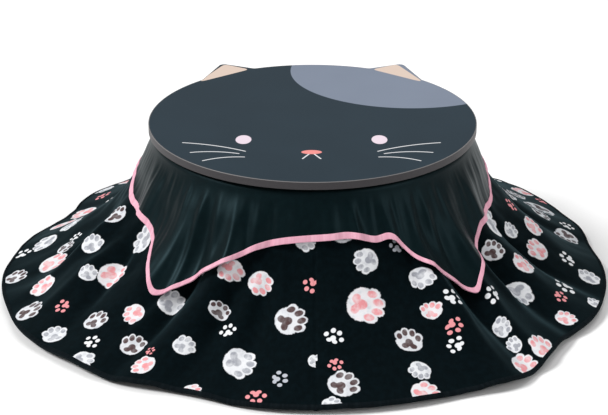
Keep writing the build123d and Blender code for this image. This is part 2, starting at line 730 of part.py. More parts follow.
GUARD_HALF = TUBE_LENGTH / 2 + HOLDER_LENGTH - HOLDER_GRIP + GUARD_GAP
GUARD_FLOOR_HALF = GUARD_HALF - GUARD_SLOPE
LONG_PITCH = 2 * (GUARD_HALF - GUARD_CORNER) / LONG_WIRE_COUNT
SHORT_PITCH = 2 * (GUARD_HALF - GUARD_CORNER) / SHORT_WIRE_COUNT
SHORT_WIRE_LEVEL = GUARD_LEVEL + 2 * WIRE_RADIUS + WIRE_GAP


def centred(count, pitch):
    """Evenly spaced places, centred on zero."""
    return [pitch * (i - (count - 1) / 2) for i in range(count)]


def guard_wire(plane, level):
    """One wire in an upright plane: down from the rim, across at a level, and up again."""
    with BuildLine(plane) as path:
        Polyline(
            (-GUARD_HALF, RIM_LEVEL),
            (-GUARD_FLOOR_HALF, level),
            (GUARD_FLOOR_HALF, level),
            (GUARD_HALF, RIM_LEVEL),
        )
    with BuildSketch(Plane(origin=path.line @ 0, z_dir=path.line % 0)) as wire_section:
        Circle(WIRE_RADIUS)
    sweep(wire_section.sketch, path=path.line, transition=Transition.RIGHT)


with BuildPart() as heater_guard:
    rim = square(2 * GUARD_HALF, GUARD_CORNER, RIM_LEVEL).face().outer_wire()
    with BuildSketch(Plane(origin=rim @ 0, z_dir=rim % 0)) as rim_section:
        Circle(RIM_WIRE_RADIUS)
    sweep(rim_section.sketch, path=rim)
    for x in centred(LONG_WIRE_COUNT, LONG_PITCH):
        guard_wire(Plane.YZ.offset(x), GUARD_LEVEL)
    for y in centred(SHORT_WIRE_COUNT, SHORT_PITCH):
        guard_wire(Plane.XZ.offset(y), SHORT_WIRE_LEVEL)
finish("heater_guard", heater_guard.part)

with BuildPart() as guard_clips:
    clip_wall = GUARD_HALF + RIM_WIRE_RADIUS
    lip_level = FLANGE_BOTTOM - 2 * RIM_WIRE_RADIUS
    with BuildSketch(Plane.YZ):
        with BuildLine():
            Polyline(
                (clip_wall, FLANGE_BOTTOM),
                (clip_wall + CLIP_FOOT, FLANGE_BOTTOM),
                (clip_wall + CLIP_FOOT, FLANGE_BOTTOM - CLIP_SHEET),
                (clip_wall + CLIP_SHEET, FLANGE_BOTTOM - CLIP_SHEET),
                (clip_wall + CLIP_SHEET, lip_level - CLIP_SHEET),
                (GUARD_HALF - RIM_WIRE_RADIUS, lip_level - CLIP_SHEET),
                (GUARD_HALF - RIM_WIRE_RADIUS, lip_level),
                (clip_wall, lip_level),
                close=True,
            )
        make_face()
    extrude(amount=CLIP_WIDTH / 2, both=True)
    clip = guard_clips.part
    clip_x = LONG_PITCH * (CLIP_GAP + 0.5)
    add(clip.moved(Location((clip_x, 0, 0))), mode=Mode.REPLACE)
    mirror(about=Plane.YZ)
    mirror(about=Plane.XZ)
finish("guard_clips", guard_clips.part)


# ---------------------------------------------------------------- socket for the lead

INLET_BACK = GUARD_HALF + RIM_WIRE_RADIUS + INLET_WALL
INLET_MOUTH = INLET_BACK + INLET_LENGTH
INLET_FLOOR = INLET_BACK + INLET_BACK_WALL
INLET_MIDDLE = FLANGE_BOTTOM - INLET_HEIGHT / 2


def pin_planes():
    """The socket's two pins, each plane at the pin's root and looking out of the mouth."""
    root = INLET_FLOOR - PIN_ROOT
    return [Plane(origin=(x * PIN_SPACING / 2, root, INLET_MIDDLE), z_dir=(0, 1, 0)) for x in (-1, 1)]


with BuildPart() as cord_inlet:
    with BuildSketch(Plane.XY.offset(FLANGE_BOTTOM)):
        with Locations((0, (INLET_BACK + INLET_MOUTH) / 2)):
            Rectangle(INLET_WIDTH, INLET_LENGTH)
    extrude(amount=-INLET_HEIGHT)
    fillet(cord_inlet.edges().filter_by(Axis.Y).group_by(Axis.Z)[0], INLET_ROUNDING)
    with BuildSketch(Plane(origin=(0, INLET_FLOOR, INLET_MIDDLE), z_dir=(0, 1, 0))):
        Rectangle(INLET_WIDTH - 2 * INLET_WALL, INLET_HEIGHT - 2 * INLET_WALL)
        fillet(vertices(), INLET_ROUNDING)
    extrude(amount=INLET_LENGTH, mode=Mode.SUBTRACT)
    with Locations(*pin_planes()):
        Cylinder(PIN_RADIUS, PIN_LENGTH + PIN_ROOT, align=STANDING, mode=Mode.SUBTRACT)
finish("cord_inlet", cord_inlet.part)

with BuildPart() as inlet_pins:
    with Locations(*pin_planes()):
        Cylinder(PIN_RADIUS, PIN_LENGTH + PIN_ROOT, align=STANDING)
    chamfer(inlet_pins.edges().group_by(Axis.Y)[-1], PIN_RADIUS / 2)
finish("inlet_pins", inlet_pins.part)
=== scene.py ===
"""Dresses a round kotatsu: its draped quilt and cover, printed top, wooden frame and heater."""

import logging
import math
from dataclasses import dataclass, field
from enum import Enum
from functools import reduce
from typing import Callable, Sequence

import bmesh
import bpy
import numpy as np
from mathutils import Euler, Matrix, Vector, noise


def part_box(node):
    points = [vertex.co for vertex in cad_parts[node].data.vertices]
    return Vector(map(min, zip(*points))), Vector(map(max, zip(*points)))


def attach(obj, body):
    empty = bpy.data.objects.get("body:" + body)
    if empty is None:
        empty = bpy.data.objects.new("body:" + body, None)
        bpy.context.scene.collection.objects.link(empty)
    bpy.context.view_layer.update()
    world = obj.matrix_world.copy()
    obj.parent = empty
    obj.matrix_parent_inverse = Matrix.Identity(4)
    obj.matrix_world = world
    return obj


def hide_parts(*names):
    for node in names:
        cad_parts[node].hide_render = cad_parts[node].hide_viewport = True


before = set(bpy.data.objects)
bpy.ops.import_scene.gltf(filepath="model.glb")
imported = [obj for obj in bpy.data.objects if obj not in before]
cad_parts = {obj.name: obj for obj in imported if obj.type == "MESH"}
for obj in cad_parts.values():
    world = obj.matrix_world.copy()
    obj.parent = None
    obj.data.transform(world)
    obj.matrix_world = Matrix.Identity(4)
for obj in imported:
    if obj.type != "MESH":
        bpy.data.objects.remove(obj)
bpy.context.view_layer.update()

LOG = logging.getLogger("kotatsu")
MM = 0.001
SEAM = 8 * MM
MERGED = 1e-6
TINY = 1e-12
FLAT = "flat_cut"
PAW_POINT = "paw_point"
PAW_LOOK = "paw_look"

Array = np.ndarray
Material = bpy.types.Material
Node = bpy.types.Node
Object = bpy.types.Object
Socket = bpy.types.NodeSocket
Pair = tuple[float, float]
Triple = tuple[float, float, float]
Oval = tuple[float, float, float, float]


def mm(*values: float) -> tuple[float, ...]:
    """Millimetres as metres."""
    return tuple(value * MM for value in values)


def scaled(colour: Triple, factor: float) -> Triple:
    """A colour made lighter or darker."""
    return tuple(factor * part for part in colour)


# ---- shader maths


class Value:
    """A number socket that can be written in sums."""

    def __init__(self, shader: "Shader", socket: Socket) -> None:
        """Wraps a shader's output that gives a number."""
        self.shader = shader
        self.socket = socket

    def math(self, operation: str, *others: "Number") -> "Value":
        """Adds a Math node that starts from this value."""
        return self.shader.math(operation, self, *others)

    def __add__(self, other: "Number") -> "Value":
        """This plus other."""
        return self.math("ADD", other)

    __radd__ = __add__

    def __mul__(self, other: "Number") -> "Value":
        """This times other."""
        return self.math("MULTIPLY", other)

    __rmul__ = __mul__

    def __sub__(self, other: "Number") -> "Value":
        """This less other."""
        return self.math("SUBTRACT", other)

    def __rsub__(self, other: "Number") -> "Value":
        """Other less this."""
        return self.shader.math("SUBTRACT", other, self)

    def __truediv__(self, other: "Number") -> "Value":
        """This over other."""
        return self.math("DIVIDE", other)

    def __rtruediv__(self, other: "Number") -> "Value":
        """Other over this."""
        return self.shader.math("DIVIDE", other, self)

    def __abs__(self) -> "Value":
        """This without its sign."""
        return self.math("ABSOLUTE")

    def least(self, other: "Number") -> "Value":
        """The smaller of this and other."""
        return self.math("MINIMUM", other)

    def most(self, other: "Number") -> "Value":
        """The larger of this and other."""
        return self.math("MAXIMUM", other)

    def blend_least(self, other: "Number", reach: float) -> "Value":
        """The smaller of the two, rounded where they cross."""
        return self.math("SMOOTH_MIN", other, reach)

    def step(self, low: float, high: float) -> "Value":
        """Rises smoothly from 0 at low to 1 at high; falls where low is the larger.

        Args:
            low: the value that gives 0.
            high: the value that gives 1.

        Returns:
            The eased value, from 0 to 1.
        """
        if low > high:
            return 1.0 - self.step(high, low)
        settings = {"interpolation_type": "SMOOTHSTEP"}
        inputs = {"Value": self, "From Min": low, "From Max": high}
        return Value(self.shader, self.shader.node("ShaderNodeMapRange", settings, inputs).outputs[0])

    def inside(self, edge: float) -> "Value":
        """1 where this distance is inside a shape, with a soft edge."""
        return self.step(edge, -edge)


Number = Value | float


class Shader:
    """A material's node tree around one Principled shader."""

    def __init__(self, name: str) -> None:
        """Starts an empty material with its shader and output.

        Args:
            name: the material's name.
        """
        self.material = bpy.data.materials.new(name)
        self.material.use_nodes = True
        self.tree = self.material.node_tree
        self.tree.nodes.clear()
        self.surface = self.node("ShaderNodeBsdfPrincipled")
        output = self.node("ShaderNodeOutputMaterial")
        self.tree.links.new(self.surface.outputs[0], output.inputs["Surface"])

    def node(self, kind: str, settings: dict | None = None, inputs: dict | None = None) -> Node:
        """Adds a node.

        Args:
            kind: the node's type.
            settings: its own settings, which are set first.
            inputs: values or links by the socket's name or number.

        Returns:
            The node.
        """
        node = self.tree.nodes.new(kind)
        for key, value in (settings or {}).items():
            setattr(node, key, value)
        for key, value in (inputs or {}).items():
            self.feed(node.inputs[key], value)
        return node

    def feed(self, socket: Socket, value: object) -> None:
        """Links or sets one input socket.

        Args:
            socket: the input.
            value: a link to make, or a number or colour to set.
        """
        if isinstance(value, Value):
            value = value.socket
        if isinstance(value, Socket):
            self.tree.links.new(value, socket)
        elif socket.type == "RGBA" and len(value) == 3:
            socket.default_value = (*value, 1.0)
        else:
            socket.default_value = value

    def math(self, operation: str, *values: Number) -> Value:
        """Adds a Math node on up to three values."""
        inputs = dict(enumerate(values))
        return Value(self, self.node("ShaderNodeMath", {"operation": operation}, inputs).outputs[0])

    def vector_math(self, operation: str, *vectors: object) -> Node:
        """Adds a Vector Math node on up to two vectors."""
        return self.node("ShaderNodeVectorMath", {"operation": operation}, dict(enumerate(vectors)))

    def less(self, vector: Socket, x: float, y: float) -> Socket:
        """A vector less a place in plan."""
        return self.vector_math("SUBTRACT", vector, (x, y, 0.0)).outputs[0]

    def stretch(self, vector: Socket, scale: Triple) -> Socket:
        """A vector with each of its numbers scaled."""
        return self.vector_math("MULTIPLY", vector, scale).outputs[0]

    def length(self, vector: Socket) -> Value:
        """How long a vector is."""
        return Value(self, self.vector_math("LENGTH", vector).outputs["Value"])

    def dot(self, vector: Socket, other: Triple) -> Value:
        """How far a vector reaches along another."""
        return Value(self, self.vector_math("DOT_PRODUCT", vector, other).outputs["Value"])

    def mix(self, mask: Number, low: object, high: object) -> Socket:
        """Mixes two colours or colour sockets: a mask of 0 gives low and 1 gives high."""
        return self.node("ShaderNodeMix", {"data_type": "RGBA"}, {0: mask, 6: low, 7: high}).outputs[2]

    def place(self) -> Socket:
        """The point on the object, in its own coordinates, in metres."""
        return self.node("ShaderNodeTexCoord").outputs["Object"]

    def attribute(self, name: str) -> Socket:
        """A vector that the mesh carries at each point."""
        return self.node("ShaderNodeAttribute", {"attribute_name": name}).outputs["Vector"]

    def parts(self, vector: Socket) -> tuple[Value, Value, Value]:
        """A vector's three numbers."""
        split = self.node("ShaderNodeSeparateXYZ", inputs={0: vector})
        return tuple(Value(self, output) for output in split.outputs)

    def join(self, x: Number, y: Number) -> Socket:
        """A vector in plan of two numbers."""
        return self.node("ShaderNodeCombineXYZ", inputs={0: x, 1: y}).outputs[0]

    def noise(self, vector: Socket, scale: float, detail: float = 2.0, rough: float = 0.5) -> Value:
        """Smooth noise from 0 to 1, scale waves to the metre."""
        inputs = {"Vector": vector, "Scale": scale, "Detail": detail, "Roughness": rough}
        return Value(self, self.node("ShaderNodeTexNoise", inputs=inputs).outputs[0])

    def oval(self, vector: Socket, x: float, y: float, across: float, along: float) -> Value:
        """Signed distance, near enough, to an oval of these half widths."""
        shape = self.stretch(self.less(vector, x, y), (1 / across, 1 / along, 0.0))
        return (self.length(shape) - 1.0) * min(across, along)

    def ovals(self, vector: Socket, shapes: Sequence[Oval]) -> Value:
        """Signed distance to the nearest of some ovals."""
        return reduce(Value.least, [self.oval(vector, *shape) for shape in shapes])

    def stroke(self, vector: Socket, start: Pair, end: Pair, bow: float = 0.0) -> Value:
        """Distance in plan from a stroke.

        Args:
            vector: the point.
            start: where the stroke starts.
            end: where it ends.
            bow: how far its middle is bent up from a straight line.

        Returns:
            The distance.
        """
        run = (end[0] - start[0], end[1] - start[1], 0.0)
        length = math.hypot(*run)
        square = (-run[1] / length, run[0] / length, 0.0)
        from_start = self.less(vector, *start)
        along = self.dot(from_start, run) / length
        across = self.dot(from_start, square)
        share = (along / length).most(0.0).least(1.0)
        side = math.copysign(4 * bow, square[1])
        return self.length(self.join(along - share * length, across - share * (1.0 - share) * side))

    def bump(self, height: Value, distance: float, strength: float) -> Socket:
        """A normal that is tilted by a height in units of distance."""
        inputs = {"Height": height, "Distance": distance, "Strength": strength}
        return self.node("ShaderNodeBump", inputs=inputs).outputs[0]

    def dress(self, **sockets: object) -> Material:
        """Sets the shader's sockets.

        Args:
            sockets: values or links by the socket's name in lower case.

        Returns:
            The material.
        """
        for name, value in sockets.items():
            label = " ".join(word.upper() if word == "ior" else word.title() for word in name.split("_"))
            self.feed(self.surface.inputs[label], value)
        return self.material


# ---- finishes


@dataclass(frozen=True)
class Wood:
    """Lacquered light hardwood with its grain along one axis."""

    name: str
    grain: Triple
    light: Triple = (0.60, 0.40, 0.22)
    dark: Triple = (0.42, 0.25, 0.12)
    rough: float = 0.38

    def build(self) -> Material:
        """Makes the material.

        Returns:
            The material.
        """
        shader = Shader(self.name)
        place = shader.place()
        along = shader.stretch(place, self.grain)
        bands = shader.noise(along, 14.0, 3.0, 0.6)
        fibres = shader.noise(along, 160.0, 2.0, 0.7)
        tone = (bands * 0.7 + fibres * 0.3).step(0.32, 0.68)
        patches = shader.noise(place, 5.0).step(0.35, 0.75) * 0.35
        colour = shader.mix(tone, self.dark, self.light)
        colour = shader.mix(patches, colour, scaled(self.light, 0.86))
        rough = fibres * 0.16 + (self.rough - 0.08)
        normal = shader.bump(fibres, 0.2 * MM, 0.5)
        return shader.dress(base_color=colour, roughness=rough, normal=normal, coat_weight=0.15)


@dataclass(frozen=True)
class Metal:
    """Bare or plated metal with fine brushing and dulled patches."""

    name: str
    colour: Triple
    rough: float = 0.32
    brushing: Triple = (1.0, 1.0, 1.0)

    def build(self) -> Material:
        """Makes the material.

        Returns:
            The material.
        """
        shader = Shader(self.name)
        place = shader.place()
        lines = shader.noise(shader.stretch(place, self.brushing), 420.0, 2.0)
        dulling = shader.noise(place, 28.0, 4.0, 0.6)
        colour = shader.mix(dulling.step(0.3, 0.75) * 0.6, self.colour, scaled(self.colour, 0.72))
        rough = lines * 0.12 + dulling * 0.16 + (self.rough - 0.14)
        normal = shader.bump(lines, 0.08 * MM, 0.4)
        return shader.dress(base_color=colour, metallic=1.0, roughness=rough, normal=normal)


@dataclass(frozen=True)
class Moulding:
    """Moulded plastic, rubber or paint, with a fine grained skin."""

    name: str
    colour: Triple
    rough: float = 0.5
    grain: float = 700.0
    relief: float = 0.06 * MM
    coat: float = 0.0

    def build(self) -> Material:
        """Makes the material.

        Returns:
            The material.
        """
        shader = Shader(self.name)
        place = shader.place()
        skin = shader.noise(place, self.grain, 2.0)
        handling = shader.noise(place, 22.0, 3.0, 0.6)
        light = tuple(min(1.0, 1.25 * part + 0.01) for part in self.colour)
        colour = shader.mix(handling.step(0.4, 0.8) * 0.4, self.colour, light)
        rough = handling * 0.14 + skin * 0.06 + (self.rough - 0.1)
        normal = shader.bump(skin, self.relief, 0.6)
        return shader.dress(base_color=colour, roughness=rough, normal=normal, coat_weight=self.coat)


@dataclass(frozen=True)
class Quartz:
    """Frosted quartz, clear enough to show the coil inside."""

    name: str = "frosted_quartz"

    def build(self) -> Material:
        """Makes the material.

        Returns:
            The material.
        """
        shader = Shader(self.name)
        frosting = shader.noise(shader.place(), 260.0, 3.0)
        rough = frosting * 0.15 + 0.12
        colour = shader.mix(frosting, (0.92, 0.92, 0.90), (0.98, 0.97, 0.95))
        return shader.dress(base_color=colour, roughness=rough, transmission_weight=0.92, ior=1.46)


@dataclass(frozen=True)
class Cloth:
    """Woven or brushed cloth of one colour with a soft sheen."""

    name: str
    colour: Triple
    light: Triple
    sheen: float = 0.06
    tint: Triple = (0.42, 0.78, 0.90)
    rough: float = 0.85
    shine: float = 0.12
    weave: float = 900.0
    nap: float = 60.0
    relief: float = 0.25 * MM

    def base(self, shader: Shader, flat: Socket) -> tuple[Socket, Value]:
        """Colour and relief of the cloth.

        Args:
            shader: the material that is being made.
            flat: the point on the cloth as it was cut, in metres.

        Returns:
            The colour, and the height of its weave and nap.
        """
        brushed = shader.noise(flat, self.nap, 4.0, 0.62)
        clouds = shader.noise(flat, 9.0, 2.0)
        colour = shader.mix(brushed.step(0.35, 0.7) * 0.7 + clouds * 0.3, self.colour, self.light)
        threads = shader.noise(shader.stretch(flat, (1.0, 0.45, 1.0)), self.weave, 1.0)
        return colour, threads * 0.5 + brushed * 0.5

    def build(self) -> Material:
        """Makes the material."""
        shader = Shader(self.name)
        return self.finish(shader, *self.base(shader, shader.attribute(FLAT)))

    def finish(self, shader: Shader, colour: Socket, height: Value) -> Material:
        """Sets the sockets that every cloth shares.

        Args:
            shader: the material's node tree.
            colour: the cloth's colour.
            height: its relief, from 0 to 1.

        Returns:
            The material.
        """
        return shader.dress(
            base_color=colour,
            roughness=self.rough,
            normal=shader.bump(height, self.relief, 0.7),
            specular_ior_level=self.shine,
            specular_tint=self.tint,
            sheen_weight=self.sheen,
            sheen_roughness=0.35,
            sheen_tint=self.tint,
        )


class Look(Enum):
    """How a printed paw looks: whether it is large with pads, has pink, and has dark brown or grey."""

    PINK = (1.0, 1.0, 0.0)
    GREY = (1.0, 0.0, 0.0)
    BROWN = (1.0, 0.0, 1.0)
    SMALL_WHITE = (0.0, 0.0, 0.0)
    SMALL_PINK = (0.0, 1.0, 0.0)
    SMALL_GREY = (0.0, 0.0, 1.0)


@dataclass(frozen=True)
class Paw:
    """One printed paw: its place and width on the cut cloth in millimetres, and its turn in degrees."""

    x: float
    y: float
    width: float
    turn: float
    look: Look


@dataclass(frozen=True)
class PawPrint(Cloth):
    """Brushed flannel printed with cats' paws, large ones with pads and small plain ones.

    The mesh carries the point in the nearest paw's own frame, in widths of the paw, and its look.
    Ovals are given in that frame by place and half widths, and a palm by its width and level.
    """

    white: Triple = (0.76, 0.77, 0.79)
    cream: Triple = (0.46, 0.48, 0.53)
    pink: Triple = (0.76, 0.29, 0.31)
    brown: Triple = (0.085, 0.050, 0.050)
    grey: Triple = (0.33, 0.34, 0.38)
    edge: float = 0.014
    fur_body: Oval = (0.0, -0.10, 0.45, 0.36)
    fur_toes: Sequence[Oval] = ((0.33, 0.15, 0.15, 0.17), (0.125, 0.30, 0.14, 0.16))
    pad_toes: Sequence[Oval] = ((0.320, 0.110, 0.095, 0.125), (0.125, 0.280, 0.095, 0.130))
    pad_palm: Pair = (0.55, -0.16)
    small_toes: Sequence[Oval] = ((0.40, 0.02, 0.115, 0.13), (0.165, 0.32, 0.12, 0.14))
    small_palm: Pair = (0.58, -0.14)

    def palm(self, shader: Shader, point: Socket, size: float, level: float) -> Value:
        """The rounded three-cornered pad of a paw.

        Args:
            shader: the material's node tree.
            point: a place in the paw's own frame.
            size: how large the pad is.
            level: how far up the paw its middle is.

        Returns:
            Signed distance to the pad's edge.
        """
        top = shader.oval(point, 0.0, level + 0.10 * size, 0.24 * size, 0.26 * size)
        lobe = shader.oval(point, 0.26 * size, level - 0.16 * size, 0.22 * size, 0.18 * size)
        return top.blend_least(lobe, 0.16 * size)

    def build(self) -> Material:
        """Makes the material.

        Returns:
            The material.
        """
        shader = Shader(self.name)
        flat = shader.attribute(FLAT)
        ground, height = self.base(shader, flat)
        is_large, is_pink, is_brown = shader.parts(shader.attribute(PAW_LOOK))
        paw_x, paw_y, _ = shader.parts(shader.attribute(PAW_POINT))
        point = shader.join(abs(paw_x), paw_y)
        fluff = (shader.noise(flat, 120.0, 3.0, 0.6) - 0.5) * 0.07

        body = shader.oval(point, *self.fur_body)
        outline = body.blend_least(shader.ovals(point, self.fur_toes), 0.07)
        fur = (outline + fluff).inside(self.edge) * is_large
        pads = shader.ovals(point, self.pad_toes).least(self.palm(shader, point, *self.pad_palm))
        pads = (pads + fluff * 0.5).inside(self.edge) * is_large
        small = shader.ovals(point, self.small_toes).least(self.palm(shader, point, *self.small_palm))
        small = (small + fluff * 0.3).inside(self.edge) * (1.0 - is_large)

        wash = shader.noise(flat, 48.0, 3.0, 0.6)
        pad_colour = shader.mix(is_pink, self.grey, self.pink)
        pad_colour = shader.mix(is_brown, pad_colour, self.brown)
        deep = is_brown * 0.45 + 0.35
        pad_strength = pads * (wash.step(0.3, 0.62) * (1.0 - deep) + deep)
        shade = wash.step(0.42, 0.72) * 0.5 + outline.step(-0.04, 0.01) * 0.2 + is_brown * 0.2
        fur_colour = shader.mix(shade, self.white, self.cream)
        fur_colour = shader.mix(is_pink * wash.step(0.6, 0.3) * 0.12, fur_colour, self.pink)
        small_colour = shader.mix(is_pink, self.white, self.pink)
        small_colour = shader.mix(is_brown, small_colour, self.cream)

        colour = shader.mix(fur, ground, fur_colour)
        colour = shader.mix(pad_strength, colour, pad_colour)
        colour = shader.mix(small, colour, small_colour)
        return self.finish(shader, colour, height)


@dataclass(frozen=True)
class CatFace:
    """Satin laminate printed with a plain cat's face, a light patch and coloured ears.

    Places are in metres from the board's centre. Those of eyes, ears and whiskers are for the
    right side, and the left side mirrors them about the print's middle.
    """

    name: str = "printed_laminate"
    ground: Triple = (0.022, 0.036, 0.048)
    patch: Triple = (0.198, 0.232, 0.298)
    ear: Triple = (0.66, 0.53, 0.45)
    eye: Triple = (0.76, 0.64, 0.72)
    nose: Triple = (0.82, 0.28, 0.26)
    line: Triple = (0.72, 0.72, 0.74)
    back: Triple = (0.20, 0.15, 0.11)
    middle: float = -3 * MM
    patch_shape: Oval = mm(238, 338, 292, 270)
    ear_corners: Sequence[Pair] = (mm(282, 250), mm(221, 388), mm(155, 349))
    ear_rounding: float = 22 * MM
    eye_shape: Oval = mm(155, -135, 18, 27)
    nose_shape: Oval = mm(0, -211, 23, 12)
    lip: Sequence[Pair] = (mm(0, -211), mm(20, -250))
    whiskers: Sequence[Sequence[Pair]] = (
        (mm(292, -154), mm(149, -206)),
        (mm(271, -213), mm(163, -220)),
        (mm(241, -262), mm(150, -240)),
    )
    whisker_bow: float = 8 * MM
    stroke: float = 1.8 * MM
    edge: float = 0.5 * MM
    print_depth: Pair = mm(1.0, 1.2)

    def ear_shape(self, shader: Shader, point: Socket) -> Value:
        """Signed distance to the ear's coloured triangle with its corners rounded.

        Args:
            shader: the material's node tree.
            point: a place beside the middle line of the face.

        Returns:
            The distance, below 0 inside.
        """
        sides = []
        for start, end in zip(self.ear_corners, (*self.ear_corners[1:], self.ear_corners[0])):
            run = (end[0] - start[0], end[1] - start[1])
            length = math.hypot(*run)
            outwards = (run[1] / length, -run[0] / length, 0.0)
            sides.append(shader.dot(shader.less(point, *start), outwards))
        return reduce(lambda one, other: one.math("SMOOTH_MAX", other, self.ear_rounding), sides)

    def build(self) -> Material:
        """Makes the material.

        Returns:
            The material.
        """
        shader = Shader(self.name)
        place = shader.place()
        x, y, z = shader.parts(place)
        beside = shader.join(abs(x - self.middle), y)
        grain = shader.noise(place, 900.0, 2.0)
        clouds = shader.noise(place, 6.0, 3.0)
        faded = clouds.step(0.3, 0.8) * 0.5
        colour = shader.mix(faded, self.ground, scaled(self.ground, 1.25))
        light = shader.mix(faded, self.patch, scaled(self.patch, 0.9))
        lines = [shader.stroke(beside, *whisker, self.whisker_bow) for whisker in self.whiskers]
        lines.append(shader.stroke(beside, *self.lip))
        marks = [
            (shader.oval(shader.join(x, y), *self.patch_shape), light),
            (self.ear_shape(shader, beside), self.ear),
            (shader.oval(beside, *self.eye_shape), self.eye),
            *((line - self.stroke, self.line) for line in lines),
            (shader.oval(beside, *self.nose_shape), self.nose),
        ]
        for shape, tone in marks:
            colour = shader.mix(shape.inside(self.edge), colour, tone)

        _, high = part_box("tabletop_board")
        under = z.step(*(high[2] - depth for depth in self.print_depth))
        colour = shader.mix(under, colour, self.back)
        rough = grain * 0.08 + clouds * 0.08 + 0.40
        normal = shader.bump(grain, 0.03 * MM, 0.5)
        return shader.dress(base_color=colour, roughness=rough, normal=normal, specular_ior_level=0.08)


@dataclass(frozen=True)
class EdgeTape:
    """Dark edge tape with a lighter line where it meets the printed face."""

    name: str = "edge_tape"
    colour: Triple = (0.045, 0.042, 0.045)
    light: Triple = (0.22, 0.21, 0.21)
    rim_depth: Pair = mm(1.4, 0.5)

    def build(self) -> Material:
        """Makes the material.

        Returns:
            The material.
        """
        shader = Shader(self.name)
        place = shader.place()
        _, _, z = shader.parts(place)
        _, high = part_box("tabletop_edge_band")
        rim = z.step(*(high[2] - depth for depth in self.rim_depth))
        grain = shader.noise(shader.stretch(place, (1.0, 1.0, 9.0)), 240.0, 3.0)
        colour = shader.mix(grain.step(0.35, 0.75) * 0.6, self.colour, scaled(self.colour, 1.5))
        colour = shader.mix(rim * 0.75, colour, self.light)
        return shader.dress(base_color=colour, roughness=grain * 0.1 + 0.4, specular_ior_level=0.2)


# ---- draped cloth


def ease(low: float, high: float, value: Array) -> Array:
    """Rises smoothly from 0 at low to 1 at high."""
    share = np.clip((value - low) / (high - low), 0, 1)
    return share * share * (3 - 2 * share)


def bell(azimuth: Array, middle: Array | float, width: float) -> Array:
    """1 at the middle azimuth, falling to 0 beside it; all in degrees."""
    away = (azimuth - middle + 180) % 360 - 180
    return np.exp(-((away / width) ** 2))


def polar(azimuth: Array, radius: Array | float, level: Array | float) -> Array:
    """Points by azimuth in degrees, distance from the middle, and height."""
    angle = np.radians(azimuth)
    return np.stack(np.broadcast_arrays(radius * np.cos(angle), radius * np.sin(angle), level), axis=-1)


def ripple(azimuth: Array, fall: Array, round_waves: float, down_waves: float, seed: float) -> Array:
    """Smooth noise over a hanging cloth, from about -1 to 1.

    Args:
        azimuth: degrees round the table.
        fall: share of the fall.
        round_waves: how many waves go with one radian round the table.
        down_waves: how many waves go down the fall.
        seed: which noise.

    Returns:
        The noise at each point.
    """
    grid = polar(azimuth, round_waves, down_waves * fall + seed)
    values = [noise.noise(Vector(point)) for point in grid.reshape(-1, 3)]
    return np.asarray(values).reshape(grid.shape[:-1])


@dataclass(frozen=True)
class Fold:
    """One ridge of a hanging cloth, or a valley where its height is negative.

    Azimuths are in degrees, from the right anticlockwise, so the front is at -90. The height is in
    millimetres, the lean is how far the ridge has turned at the crease, and start and crest are
    shares of the fall.
    """

    azimuth: float
    width: float
    height: float
    lean: float = 0.0
    start: float = 0.0
    crest: float = 0.35

    def rise(self, azimuth: Array, fall: Array) -> Array:
        """How far the ridge stands off the smooth drape, in metres."""
        middle = self.azimuth + self.lean * (1 - fall)
        return self.height * MM * ease(self.start, self.crest, fall) * bell(azimuth, middle, self.width)


@dataclass(frozen=True)
class Lobe:
    """A stretch of an edge that is moved: by millimetres outwards, or by degrees round."""

    azimuth: float
    width: float
    reach: float

    def at(self, azimuth: Array) -> Array:
        """How much the lobe moves the edge at an azimuth."""
        return self.reach * bell(azimuth, self.azimuth, self.width)


def folds(*rows: Sequence[float]) -> tuple[Fold, ...]:
    """Folds from rows of their numbers."""
    return tuple(Fold(*row) for row in rows)


def lobes(*rows: Sequence[float]) -> tuple[Lobe, ...]:
    """Lobes from rows of their numbers."""
    return tuple(Lobe(*row) for row in rows)


